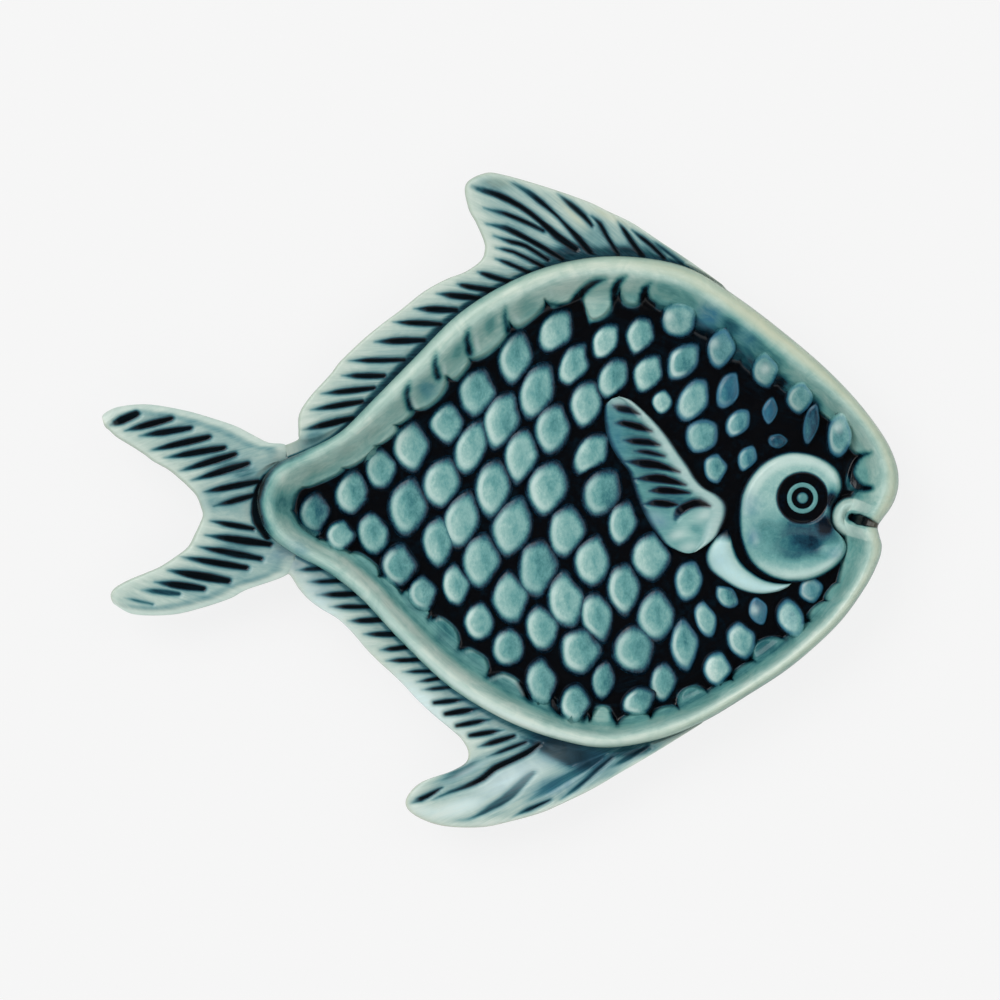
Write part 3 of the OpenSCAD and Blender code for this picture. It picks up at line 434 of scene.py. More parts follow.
ANAL_BLUES = [
    (516, 774, 38, 12, 26, 0.2), (560, 785, 26, 8, 25, 0.45), (588, 757, 20, 8, 0, 0.3),
    (470, 700, 40, 10, -38, 0.2), (566, 753, 36, 12, -24, 0.26), (305, 566, 18, 9, 0, 0.35),
    (320, 585, 18, 12, -45, 0.25)]
TAIL_PATCHES = [
    (238, 470, 22, 9, -25, 0.5), (218, 502, 26, 14, 0, 0.34), (235, 548, 24, 9, 20, 0.45),
    (150, 600, 30, 8, 0, 0.14)]
TAIL_BLUES = [(284, 551, 18, 8, 20, 0.35)]
SIDE_PATCHES = [
    (690, 528, 15, 12, 30, 0.26), (640, 446, 14, 44, 24, 0.55), (614, 436, 9, 32, 12, 0.5),
    (696, 528, 6, 5, 0, 0.42), (672, 500, 20, 6, 0, 0.6)]
SIDE_PALE = [
    (617, 401, 10, 5, 0, 0.4), (678, 535, 9, 5, 20, 0.55), (690, 547, 10, 5, 10, 0.5),
    (706, 514, 12, 7, 20, 0.5), (657, 519, 10, 6, -30, 0.35)]
SIDE_BLUES = [(616, 440, 10, 36, 12, 0.35), (657, 519, 13, 8, -30, 0.5)]
GILL_BLUE = (716, 562, 14, 12)
CHEEK_HOLLOWS = [(800, 543, 30, 12, 0, 1.0), (768, 533, 12, 14, 0, 0.6)]
# Patches on the cheek: partly the glaze pooled in its hollows and partly painted shade under the eye and by
# the corner of the mouth
CHEEK_PATCHES = [
    (778, 540, 28, 20, 0, 0.45), (806, 524, 24, 9, 0, 0.62), (808, 543, 20, 13, -15, 0.78),
    (795, 552, 14, 8, 0, 0.62), (768, 526, 9, 6, 0, 0.46), (832, 500, 8, 10, 0, 0.85),
    (836, 540, 7, 8, 0, 0.5), (763, 548, 6, 8, 0, 0.4), (831, 549, 9, 6, 20, 0.36),
    (826, 526, 10, 12, 0, 0.9)]
# Painted highlights on the cheek in pixels, as strokes with widths, then strength: an arc along its upper
# left, a spot at its left and a crescent along its bottom
CHEEK_HIGHLIGHTS = [
    ((746, 512, 7), (748, 500, 12), (754, 485, 14), (766, 470, 14), (786, 460, 13), (808, 459, 12),
     (826, 468, 8), (836, 480, 5), 0.85),
    ((753, 531, 4), (756, 541, 5), 0.6),
    ((762, 564, 6), (776, 572, 9), (794, 575, 9), (812, 572, 8), (828, 565, 7), (840, 554, 5), 0.65)]
CHEEK_BLUES = [(751, 505, 10, 12, 0, 0.3), (753, 537, 6, 8, 0, 0.4), (836, 553, 9, 6, 0, 0.25)]

# Mouth in pixels: the line of its slot with half its width, how soft its edge is, how far the lips
# are from it, and the pixel column where they start, how far they reach and where they fade
MOUTH_SLOT_PX = [
    (853, 517.5, 4), (859, 519.5, 5.6), (867, 522, 4.6), (875, 525, 3), (884, 528, 2)]
MOUTH_BLUR_PX = 1.2
LIP_PX = 13
LIP_HALF_PX = 10.5
LIPS_FROM_PX = 826
LIPS_LENGTH_PX = 62
LIPS_FADE_PX = 26
LIP_HEIGHT = 5 * MM
LIP_SWELL = 0.6 * MM
MOUTH_DEPTH = 2.6 * MM

# Light: how high on the sky, as a sine, and how bright, and the lamps as name, strength, width, tilt
# from above and direction round the object, in degrees
SKY = [(0.8, 0.5), (0.97, 0.04)]
LAMPS = [("key", 1.5, 40, 40, 140), ("fill", 0.6, 60, 40, 20), ("back", 0.5, 60, 40, 260)]
GLOSS = 0.25

# Studio: the camera sees the frame's width at the height of the fins' edges
CAMERA_HEIGHT = 3.0
CAMERA_REACH = 100
CAMERA_FILM = 36
FRAME_WIDTH = PHOTO_PX * PIXEL
OUTLINE_HEIGHT = 19 * MM
FLOOR_HALF = 3.0
FLOOR_DROP = 0.1 * MM
FLOOR_COLOUR = (0.9, 0.9, 0.9, 1)
SHADOW_SHARE = 0.1


def soft(x):
    """0 below 0, 1 above 1 and smooth between."""
    x = np.clip(x, 0, 1)
    return x * x * (3 - 2 * x)


def hump(x):
    """1 at 0, falling smoothly to 0 at -1 and 1."""
    return np.where(np.abs(x) < 1, (1 + np.cos(math.pi * x)) / 2, 0)


def rounded(x):
    """0 to 1 along a quarter of a circle, steep at 0."""
    return np.sqrt(1 - (1 - np.clip(x, 0, 1)) ** 2)


def mix(a, b, share):
    return a + (b - a) * share


def curve(a, b, c, d, f):
    """Smooth line from b, where f is 0, to c, where f is 1."""
    return (2 * b + (c - a) * f + (2 * a - 5 * b + 4 * c - d) * f ** 2
            + (3 * b - a - 3 * c + d) * f ** 3) / 2


def closed_line(points, t):
    points = np.asarray(points, float)
    start = np.floor(t).astype(int)
    corners = (points[(start + k) % len(points)] for k in (-1, 0, 1, 2))
    return curve(*corners, (t - start)[..., None])


def open_line(points, t):
    points = np.asarray(points, float)
    last = len(points) - 1
    start = np.clip(np.floor(t).astype(int), 0, last - 1)
    corners = (points[np.clip(start + k, 0, last)] for k in (-1, 0, 1, 2))
    return curve(*corners, (t - start)[..., None])


def stations(points, steps):
    """Places along an open line, with this many steps from point to point."""
    return np.arange((len(points) - 1) * steps + 1) / steps


def plan(points):
    """Thousandths of the length and width, in metres."""
    return np.asarray(points, float) * np.array([LENGTH, WIDTH]) / 1000 * SNUG


def photo(points):
    """Pixels of the photograph, in metres."""
    return (np.asarray(points, float) - MIDDLE_PX) * np.array([PIXEL, -PIXEL])


def pixels_between(a, b):
    return np.linalg.norm(a - b, axis=-1) / PIXEL


def rim_at(t):
    return plan(closed_line(RIM, t))


def floor_at(t):
    return plan(closed_line(FLOOR, t))


def between(near, far, shares):
    """Points at shares of the way from each point of a line to another line, or to one point."""
    far = np.broadcast_to(far, near.shape)
    return mix(near[:, None], far[:, None], np.asarray(shares)[..., None])


def drawn_together(a, b, off):
    """Two lines that meet in a rounded tip where off falls to 0."""
    wide = rounded(np.maximum(off, BLUNT))[:, None]
    middle = (a + b) / 2
    return mix(middle, a, wide), mix(middle, b, wide)


def with_height(place, z):
    return np.dstack([place, np.broadcast_to(z, place.shape[:2])])


def distance_to_stroke(p, a, b):
    """Distance of points p from the segment a to b, and the share of the way along it."""
    way = b - a
    share = np.clip(((p - a) @ way) / (way @ way), 0, 1)
    return np.linalg.norm(p - a - share[..., None] * way, axis=-1), share


def stroke_line(x0, y0, x1, y1, width):
    """A straight groove as points with widths: drawn out at its outer end, blunt at the inner one."""
    return [(mix(x0, x1, along), mix(y0, y1, along), share * width) for along, share in STROKE_SHARES]


def stroke_mask(p, strokes, wider_px=0.0, blur_px=3.6):
    """Strength of the strokes at points p: 1 within half a stroke's width, falling softly beside it."""
    found = np.zeros(p.shape[:-1])
    for *line, dark in strokes:
        points = np.array(line if isinstance(line[0], tuple) else stroke_line(*line), float)
        ends = np.linspace(0, len(points) - 1, 2 * len(points) - 1)
        fine = open_line(points, ends)
        spots = photo(fine[:, :2])
        for k in range(len(ends) - 1):
            away, share = distance_to_stroke(p, spots[k], spots[k + 1])
            half = mix(fine[k, 2], fine[k + 1, 2], share) / 2 + wider_px - STROKE_TRIM_PX
            along = mix(ends[k], ends[k + 1], share) / (len(points) - 1)
            strong = mix(FAINT_START, 1, soft(along / FAINT_SHARE))
            found = np.maximum(found, dark * strong * soft((half - away / PIXEL) / blur_px + 0.5))
    return found


def blob(p, x, y, rx, ry, turn=0):
    """A soft round patch at a pixel, 1 in its middle."""
    off = p - photo([(x, y)])[0]
    c, s = math.cos(math.radians(turn)), math.sin(math.radians(turn))
    u = (off[..., 0] * c + off[..., 1] * s) / (rx * PIXEL)
    v = (-off[..., 0] * s + off[..., 1] * c) / (ry * PIXEL)
    return np.exp(-(u * u + v * v))


def patched(place, level, patches):
    """A mask brought to each patch's own level, which the patch's middle reaches in full."""
    for *patch, goal in patches:
        level = mix(level, goal, np.clip(1.3 * blob(place, *patch), 0, 1))
    return level


def lifted(place, level, patches):
    """A mask raised to each patch's strength."""
    for *patch, strength in patches:
        level = np.maximum(level, strength * blob(place, *patch))
    return level


def grooved(pool, banks, bank_pool, grooves):
    """Glaze that is deeper on the banks of grooves and deepest in them."""
    pool = mix(pool, np.maximum(pool, bank_pool), banks)
    return mix(pool, 1.0, grooves)


# Meshes

def put(name, data):
    """An object with this data in the scene."""
    obj = bpy.data.objects.new(name, data)
    bpy.context.scene.collection.objects.link(obj)
    return obj


def masks_of(pool, pale=0.0, cream=0.0, blue=0.0):
    """What a glaze reads at each point: its depth, then how much of each tint."""
    masks = {"pool": pool, "pale": pale, "cream": cream, "blue": blue}
    return {key: np.broadcast_to(values, pool.shape) for key, values in masks.items()}


def with_hidden(masks, before, after, before_pool=1.0, after_pool=1.0):
    """Masks with columns added before and after, for the points that don't show."""
    full = {}
    for key, values in masks.items():
        tone = 1 if key == "pool" else 0
        first = np.full((len(values), before), tone * before_pool)
        last = np.full((len(values), after), tone * after_pool)
        full[key] = np.concatenate([first, values, last], axis=1)
    return full


def new_mesh(name, verts, faces, masks, flow):
    """A smooth mesh whose masks are attributes that its material reads."""
    mesh = bpy.data.meshes.new(name)
    mesh.from_pydata(verts.tolist(), [], faces)
    mesh.validate()
    mesh.polygons.foreach_set("use_smooth", np.ones(len(mesh.polygons), bool))
    for key, values in masks.items():
        attribute = mesh.attributes.new(key, "FLOAT", "POINT")
        attribute.data.foreach_set("value", np.asarray(values, np.float32).ravel())
    attribute = mesh.attributes.new("flow", "FLOAT_VECTOR", "POINT")
    attribute.data.foreach_set("vector", np.asarray(flow, np.float32).ravel())
    mesh.update()
    return put(name, mesh)


def grid_faces(n, m, closed, ring):
    """Faces between n stations of m points. closed joins the last station to the first, and ring
    joins the last point of a station to its first."""
    here = np.arange(n if closed else n - 1)[:, None] * m
    after = (here + m) % (n * m)
    j = np.arange(m if ring else m - 1)[None, :]
    k = (j + 1) % m
    return np.stack([here + j, after + j, after + k, here + k], -1).reshape(-1, 4).tolist()


def flipped(faces):
    return [face[::-1] for face in faces]


def domed(name, rings, masks, flow, first, last):
    """A piece of closed stations round a middle, with a pole at the first and at the last point."""
    n, m = rings.shape[:2]
    verts = np.vstack([rings.reshape(-1, 3), [first, last]])
    faces = grid_faces(n, m, True, False)
    for i in range(n):
        k = (i + 1) % n
        faces.append([i * m, n * m, k * m])
        faces.append([i * m + m - 1, k * m + m - 1, n * m + 1])
    full = {}
    for key, values in masks.items():
        full[key] = np.concatenate([values.ravel(), [values[:, 0].mean(), values[:, -1].mean()]])
    flow = np.vstack([flow.reshape(-1, 3), [first, last]])
    return new_mesh(name, verts, flipped(faces), full, flow)


def barred(name, rings, masks, flow):
    """A piece of stations whose points form closed rings, capped at both ends."""
    n, m = rings.shape[:2]
    faces = grid_faces(n, m, False, True)
    faces.append(list(range(m)))
    faces.append([(n - 1) * m + j for j in range(m - 1, -1, -1)])
    return new_mesh(name, rings.reshape(-1, 3), faces, masks, flow)


# Materials

def fill(shader, **inputs):
    for key, value in inputs.items():
        shader.inputs[key.replace("_", " ")].default_value = value
    return shader


def node(tree, kind, **inputs):
    return fill(tree.nodes.new(kind), **inputs)


def srgb(text):
    """Linear colour of a hexadecimal one."""
    values = [int(text[k:k + 2], 16) / 255 for k in (0, 2, 4)]
    linear = [v / 12.92 if v <= 0.04045 else ((v + 0.055) / 1.055) ** 2.4 for v in values]
    return (*linear, 1)


# Colours of the glaze from thin to pooled, on the rim, the fins and the relief inside the dish
RIM_RAMP = [
    (0.0, "ccdcd1"), (0.12, "aecac0"), (0.26, "8bb2aa"), (0.4, "679d98"), (0.52, "477f80"),
    (0.62, "2b6268"), (0.7, "1e4f5a"), (0.78, "123440"), (0.86, "051620"), (1.0, "010205")]
FIN_RAMP = [
    (0.0, "cbd7ce"), (0.12, "b2c6bd"), (0.26, "92afab"), (0.4, "6d9698"), (0.52, "4b777d"),
    (0.62, "2a5c64"), (0.7, "214854"), (0.78, "12323e"), (0.88, "04151d"), (1.0, "01060a")]
SCALE_RAMP = [
    (0.0, "cadcd4"), (0.12, "aacac3"), (0.26, "86b1ad"), (0.4, "639998"), (0.52, "467d80"),
    (0.62, "2a606b"), (0.7, "1c4859"), (0.78, "112f40"), (0.86, "041422"), (1.0, "010205")]
CLAY_RAMP = [(0.2, "a8977c"), (0.45, "d3c6ab"), (0.8, "e6dcc6")]
CREAM = "c9caad"
# Pale tints, for thin glaze and for the painted highlights that the pale mask carries
PALE = "cfe1db"
PALE_BLUE = "c3e4e8"
PALE_ANAL = "d3e8e8"
BLUE = "3c7894"
BACKGROUND = srgb("f6f6f6")
# Scale, detail and roughness of the noise in glaze and clay, then how far the surface's roughness
# follows it and from what, and how strong and how high the bumps are
CLOUD_NOISE = (110, 4, 0.62)
RUN_NOISE = (420, 4, 0.65)
FINE_NOISE = (1500, 2, 0.6)
BUMP_NOISE = (300, 3, 0.55)
CLAY_GRAIN = (900, 5, 0.7)
CLAY_CLOUD = (60, 3, 0.5)
GLAZE_ROUGH = (0.12, 0.2)
CLAY_ROUGH = (0.3, 0.75)
GLAZE_BUMP = (0.3, 0.15 * MM)
CLAY_BUMP = (0.5, 0.2 * MM)


def new_material(name):
    """A material, its nodes and its shader."""
    material = bpy.data.materials.new(name)
    material.use_nodes = True
    return material, material.node_tree, material.node_tree.nodes["Principled BSDF"]


def give(tree, socket, value):
    """Set a socket to a number or colour, or link it to another node's output."""
    if isinstance(value, (int, float, tuple)):
        socket.default_value = value
    else:
        tree.links.new(value, socket)


def read_mask(tree, name, output="Fac"):
    reader = tree.nodes.new("ShaderNodeAttribute")
    reader.attribute_name = name
    return reader.outputs[output]


def math_node(tree, operation, a, b, clamp=False):
    made = tree.nodes.new("ShaderNodeMath")
    made.operation = operation
    made.use_clamp = clamp
    give(tree, made.inputs[0], a)
    give(tree, made.inputs[1], b)
    return made.outputs[0]


def scaled(tree, value, factor, base):
    """The value times the factor, added to the base."""
    return math_node(tree, "ADD", base, math_node(tree, "MULTIPLY", value, factor))


def noise(tree, scale, detail, roughness, flow=False, twist=0):
    """Noise from -0.5 to 0.5, in the object's own space or along the flow of its glaze."""
    made = node(tree, "ShaderNodeTexNoise", Scale=scale, Detail=detail, Roughness=roughness,
                Distortion=twist)
    if flow:
        give(tree, made.inputs["Vector"], read_mask(tree, "flow", "Vector"))
    else:
        give(tree, made.inputs["Vector"], tree.nodes.new("ShaderNodeTexCoord").outputs["Object"])
    return math_node(tree, "SUBTRACT", made.outputs["Fac"], 0.5)


def blend_colour(tree, factor, a, b):
    """Mix of two colours. The node's sockets 6 and 7 in and 2 out are those for colours."""
    made = tree.nodes.new("ShaderNodeMix")
    made.data_type = "RGBA"
    give(tree, made.inputs[0], factor)
    give(tree, made.inputs[6], a)
    give(tree, made.inputs[7], b)
    return made.outputs[2]


def colour_ramp(tree, factor, stops):
    ramp = tree.nodes.new("ShaderNodeValToRGB")
    elements = ramp.color_ramp.elements
    for element, (position, colour) in zip(elements, (stops[0], stops[-1])):
        element.position = position
        element.color = srgb(colour)
    for position, colour in stops[1:-1]:
        elements.new(position).color = srgb(colour)
    give(tree, ramp.inputs["Fac"], factor)
    return ramp.outputs["Color"]


def varied(tree, mask, noise_value, amount):
    """A mask made stronger and weaker by noise."""
    shift = scaled(tree, noise_value, amount, 1)
    return math_node(tree, "MULTIPLY", shift, read_mask(tree, mask), clamp=True)


def surface(tree, shader, colour, rough, height, strength, distance):
    """Link a shader's colour, its roughness and the bumps on it."""
    give(tree, shader.inputs["Base Color"], colour)
    give(tree, shader.inputs["Roughness"], rough)
    bump = node(tree, "ShaderNodeBump", Strength=strength, Distance=distance)
    give(tree, bump.inputs["Height"], height)
    give(tree, shader.inputs["Normal"], bump.outputs[0])


def glaze(name, ramp, mottle, streak, grain=0.05, pale=PALE):
    """Glossy coloured glaze that is pale where it is thin and where highlights are painted, and nearly black
    where it has pooled.
    Clouds, streaks along its flow and fine grain shift its depth."""
    material, tree, shader = new_material(name)
    cloud = noise(tree, *CLOUD_NOISE, twist=1.2)
    runs = noise(tree, *RUN_NOISE, flow=True, twist=0.6)
    fine = noise(tree, *FINE_NOISE, flow=True)
    shift = math_node(tree, "MULTIPLY", cloud, mottle * 2)
    shift = scaled(tree, runs, streak * 2, shift)
    shift = scaled(tree, fine, grain * 2, shift)
    pool = math_node(tree, "ADD", read_mask(tree, "pool"), shift, clamp=True)
    colour = colour_ramp(tree, pool, ramp)
    thin = math_node(tree, "SUBTRACT", 1.2, pool, clamp=True)
    tint = math_node(tree, "MULTIPLY", varied(tree, "cream", runs, 1.5), thin)
    colour = blend_colour(tree, tint, colour, srgb(CREAM))
    # The pale tint: thin glaze, and painted highlights and glints
    colour = blend_colour(tree, varied(tree, "pale", runs, 1.4), colour, srgb(pale))
    colour = blend_colour(tree, varied(tree, "blue", cloud, 2.0), colour, srgb(BLUE))
    fill(shader, IOR=1.5, Specular_IOR_Level=GLOSS)
    rough = scaled(tree, cloud, *GLAZE_ROUGH)
    surface(tree, shader, colour, rough, noise(tree, *BUMP_NOISE), *GLAZE_BUMP)
    return material


def clay():
    """Bare fired clay of the foot, sandy and matt."""
    material, tree, shader = new_material("foot_clay")
    grain = noise(tree, *CLAY_GRAIN)
    cloud = noise(tree, *CLAY_CLOUD)
    depth = math_node(tree, "ADD", math_node(tree, "ADD", grain, cloud), 0.5)
    colour = colour_ramp(tree, depth, CLAY_RAMP)
    surface(tree, shader, colour, scaled(tree, grain, *CLAY_ROUGH), grain, *CLAY_BUMP)
    return material


def dress(obj, material, node_name):
    obj.data.materials.append(material)
    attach(obj, "root")
    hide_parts(node_name)


# The dish

def border_edge(t):
    """Share of the way from the rim's line at which the wall ends."""
    rows = np.array(BORDER)
    here = t % POINTS
    k = (np.searchsorted(rows[:, 0], here, side="right") - 1) % len(rows)
    after = (k + 1) % len(rows)
    here = np.where(here < rows[0, 0], here + POINTS, here)
    left, left_share, tip, tip_share = rows[k].T
    right = rows[after, 0] + np.where(after == 0, POINTS, 0)
    before = here < tip
    side = np.where(before, left_share, rows[after, 1])
    off = np.where(before, (tip - here) / (tip - left), (here - tip) / (right - tip))
    return side + (tip_share - side) * np.sqrt(1 - np.clip(off * 1.03, 0, 1) ** 2.2)


def mouth_relief(p):
    """How much a point is on the lips, and how deep in the slot between them."""
    away = np.full(p.shape[:-1], 1.0)
    cut = np.zeros(p.shape[:-1])
    for (*a, half_a), (*b, half_b) in zip(MOUTH_SLOT_PX[:-1], MOUTH_SLOT_PX[1:]):
        here, share = distance_to_stroke(p, *photo([a, b]))
        away = np.minimum(away, here)
        inside = mix(half_a, half_b, share) - here / PIXEL
        cut = np.maximum(cut, soft((inside + MOUTH_BLUR_PX) / (2 * MOUTH_BLUR_PX)))
    right = p[..., 0] / PIXEL + MIDDLE_PX - LIPS_FROM_PX
    lips = hump((away / PIXEL - LIP_PX) / LIP_HALF_PX) * (right > 0)
    return lips * soft((LIPS_LENGTH_PX - right) / LIPS_FADE_PX), cut * (right > 0)


def round_the_rim(table, t):
    xs, ys = zip(*table)
    return np.interp(t % POINTS, xs, ys)[:, None]


def section_of(table, shares):
    """Heights of a section's smooth line at these shares of the way."""
    fine = open_line(table, np.linspace(0, len(table) - 1, SECTION_STEPS))
    return np.interp(shares, fine[:, 0], fine[:, 1])


def rim_and_floor(t):
    """Points of the rim's line, moved out at the lower right, and of the floor's edge."""
    rim, floor = rim_at(t), floor_at(t)
    out = (rim - floor) / np.linalg.norm(rim - floor, axis=1)[:, None]
    wider = LOW_RIGHT_PX * PIXEL * hump((t - LOW_RIGHT_AT) / LOW_RIGHT_HALF)
    return rim + out * wider[:, None], floor


def wall_depth(t, place):
    """How far a point lies inside the wall's end, square to that edge."""
    edge = border_edge(t) * WALL_REACH
    line = place[:, LEAN_COLUMN]
    lean = np.gradient(edge) / np.linalg.norm(line - np.roll(line, 1, axis=0), axis=1)
    even = np.ones(LEAN_SPAN) / LEAN_SPAN
    lean = np.convolve(np.pad(lean, LEAN_SPAN // 2, mode="wrap"), even, "valid")
    steep = np.sqrt(1 + np.clip(lean, -LEAN_LIMIT, LEAN_LIMIT) ** 2)
    return (edge[:, None] - ACROSS_SHARES * WALL_REACH) / steep[:, None]


def dish_height(t, place, depth, lips, cut):
    """The rim's section with the wall's end and its grooves carved in, the lips and the mouth."""
    gentle = hump((t[:, None] - GENTLE_AT) / GENTLE_HALF)
    inside = soft(depth / mix(END_STEEP, END_GENTLE, gentle) + 0.35)
    carved = CARVE * (1 - inside) + WALL_GROOVE * stroke_mask(place, WALL_STROKES, 1.5, 4)
    z = section_of(CREST_AND_WALL, ACROSS_SHARES) * (RIM_TOP - FLOOR_TOP) - carved
    z = FLOOR_TOP + (z + np.sqrt(z ** 2 + RUN_OUT ** 2)) / 2
    lip_top = FLOOR_TOP + LIP_HEIGHT * np.sqrt(lips)
    z = np.where(lips > 0, np.maximum(z + LIP_SWELL * lips, lip_top), z)
    return np.maximum(z - MOUTH_DEPTH * cut * soft(ACROSS_SHARES / 0.3), FLOOR_TOP)


def rim_flow(t):
    """Coordinates in which streaks run along the rim."""
    turn = t * 2 * math.pi / POINTS
    ring = np.stack([np.cos(turn), np.sin(turn)], -1) * FLOW_RADIUS
    return with_height(between(ring, ring, ACROSS_SHARES), ACROSS_SHARES * WALL_REACH * 0.8)


def wall_tone(t, shares):
    """Depth of the glaze across the rim and down the wall, with painted light and shade round the rim."""
    tables = (CREST_ROUND, OUTER_ROUND, CREST_THIN_AND_LIT_ROUND, WALL_ROUND, FOOT_ROUND)
    crest, outer, thin, wall, foot = (round_the_rim(table, t) for table in tables)
    level = mix(outer, thin, soft(shares / crest))
    level = mix(level, wall, soft((shares - crest) / (WALL_TONE_SHARE - crest)))
    return mix(level, foot, soft((shares - FOOT_TONE_SHARE) / 0.28))


def dish_masks(t, place, depth, lips, cut):
    shares = ACROSS_SHARES
    grooves = stroke_mask(place, WALL_STROKES, 0, 4)
    has_fin = (soft((t - FINS_FROM) / 0.5) * soft((FINS_TO - t) / 0.5))[:, None]
    outer = mix(0.6, 0.88, has_fin) * soft(1 - shares / mix(0.085, 0.035, has_fin))
    level = patched(place, wall_tone(t, shares), WALL_PATCHES)
    pool = mix(1.0, level, soft(depth / END_DARK + 0.62))
    pool = grooved(pool, stroke_mask(place, WALL_STROKES, 2.5, 6), 0.7, grooves)
    pool = np.maximum(np.maximum(pool, outer), cut)
    pool = np.minimum(pool, mix(1, 0.16, soft(lips / 0.6) * (1 - soft(cut / 0.5))))
    # A painted highlight line along the crest, brightest at the lower left
    crest_highlight = round_the_rim(CREST_HIGHLIGHT_ROUND, t) * hump((shares - 0.2) / 0.16)
    # Pale strokes: partly the glaze's pale swirls and partly painted highlights on the wall's scales
    streaks = stroke_mask(place, WALL_PALE_AND_HIGHLIGHTS, 0, 4) * soft(depth / MM)
    on_lips = 0.25 * lips * (1 - cut) * soft((shares - 0.35) / 0.3)
    pale = np.clip(np.maximum(crest_highlight, streaks) + on_lips, 0, 1) * (1 - grooves)
    cream = round_the_rim(CREAM_ROUND, t) * soft((0.42 - shares) / 0.26)
    blue = patched(place, 0 * shares, WALL_BLUES) * soft(depth / MM + 0.5)
    return masks_of(pool, pale, cream, blue)


def dish():
    t = np.arange(POINTS * RIM_STEPS) / RIM_STEPS
    rim, floor = rim_and_floor(t)
    middle = plan([(0, 0)])[0]
    place = between(rim, floor, ACROSS_SHARES)
    depth = wall_depth(t, place)
    lips, cut = mouth_relief(place)
    under_z = mix(FOOT_TOP, BAND_LOW, section_of(UNDERSIDE, UNDER_SHARES))
    rings = np.concatenate([
        with_height(between(floor, middle, FLAT_SHARES), FOOT_TOP),
        with_height(between(rim, floor, UNDER_SHARES), under_z),
        with_height(place, dish_height(t, place, depth, lips, cut)),
        with_height(between(place[:, -1], middle, INNER_SHARES), FLOOR_TOP)], axis=1)
    before = len(FLAT_SHARES) + len(UNDER_SHARES)
    masks = with_hidden(dish_masks(t, place, depth, lips, cut), before, len(INNER_SHARES), UNDER_POOL)
    flow = rings.copy()
    flow[:, before:before + len(ACROSS_SHARES)] = rim_flow(t)
    obj = domed("dish_glazed", rings, masks, flow, (*middle, FOOT_TOP), (*middle, FLOOR_TOP))
    dress(obj, glaze("rim_glaze", RIM_RAMP, 0.17, 0.15, 0.05), "dish")
    return obj


# The fins

def fin_flow(edge, place):
    """Coordinates in which streaks run from the fin's edge to its root."""
    steps = np.linalg.norm(np.diff(edge, axis=0), axis=1)
    along = np.concatenate([[0], np.cumsum(steps)])[:, None]
    reach = np.linalg.norm(place - place[:, :1], axis=-1)
    return np.dstack([np.broadcast_to(along, reach.shape), reach * 0.15, 0 * reach])


def fin_sheet(name, edge, root, root_z, strokes, shade, node_name, pale=PALE):
    """A fin between its edge line and its root line, with grooves on top."""
    across = FIN_ACROSS_SHARES
    place = between(edge, root, across)
    root_low, root_high = root_z[0][:, None], root_z[1][:, None]
    high = mix(FIN_EDGE_HIGH, root_high, across)
    low = mix(FIN_EDGE_LOW, root_low, across)
    lip = rounded(across / 0.05)
    grooves = stroke_mask(place, strokes)
    banks = stroke_mask(place, strokes, 1.8, 6)
    from_root = pixels_between(place, root[:, None])
    trough = soft((ROOT_BAND_PX - from_root) / (0.8 * ROOT_BAND_PX))
    top = mix((high + low) / 2, high, lip) - np.maximum(banks, trough) * GROOVE_DEPTH * lip
    under_z = mix(FIN_EDGE_LOW, root_low, FIN_UNDER_SHARES)
    under = with_height(between(edge, root, FIN_UNDER_SHARES), under_z)
    rings = np.concatenate([with_height(place, top), under], axis=1)
    masks = with_hidden(shade(place, grooves, banks, root), 0, under.shape[1], after_pool=UNDER_POOL)
    flow = rings.copy()
    flow[:, :len(across)] = fin_flow(edge, place)
    obj = barred(name, rings, masks, flow)
    dress(obj, glaze(name, FIN_RAMP, 0.08, 0.2, 0.05, pale), node_name)


def fin_tone(place, root, rooted, edge_tone=0.3):
    """Depth of a fin's tone between its grooves: pale at the edge, dark in a band along the root."""
    from_root = pixels_between(place, root[:, None])
    from_edge = pixels_between(place, place[:, :1])
    reach = np.maximum(from_root[:, :1], 1)
    band = np.minimum(ROOT_BAND_PX, 0.26 * reach)
    pool = 0.07 + 0.18 * soft((from_edge - 4) / 40)
    dark = rooted * ROOT_DARK * soft((band - from_root) / (0.75 * band)) * soft(reach / 16)
    pool = mix(edge_tone, pool, soft(from_edge / 3))
    return np.maximum(pool, dark), from_edge, from_root


def fin_masks(place, pool, pale, from_edge, grooves, banks, blues, creams=()):
    pool = grooved(pool, 0.85 * banks ** 1.3, 0.58, grooves ** 1.2)
    cream = 0.2 * soft(1 - from_edge / 14) + 0.3 * soft(1 - from_edge / 3)
    cream = np.maximum(cream, patched(place, 0 * pool, creams) * (1 - banks))
    blue = patched(place, 0 * pool, blues) * (1 - grooves)
    return masks_of(pool, pale * (1 - banks), cream, blue)


def rim_fin_shade(patches, pales=(), blues=(), creams=(), rooted=1.0, edge_tone=0.3):
    def shade(place, grooves, banks, root):
        pool, from_edge, _ = fin_tone(place, root, rooted, edge_tone)
        pool = patched(place, pool, patches)
        pale = lifted(place, 0.18 * hump((from_edge - 5) / 7), pales)
        return fin_masks(place, pool, pale, from_edge, grooves, banks, blues, creams)
    return shade


def rim_fin(name, lines, strokes, shade, node_name, pale=PALE):
    t = stations(lines, FIN_STEPS)
    edge = plan(open_line([row[:2] for row in lines], t))
    along = np.interp(t, np.arange(len(lines)), [row[2] for row in lines])
    root = mix(rim_at(along), floor_at(along), FIN_SEAT_SHARE)
    root_z = (np.full(len(t), BAND_LOW), np.full(len(t), BAND_TOP))
    fin_sheet(name, edge, root, root_z, strokes, shade, node_name, pale)


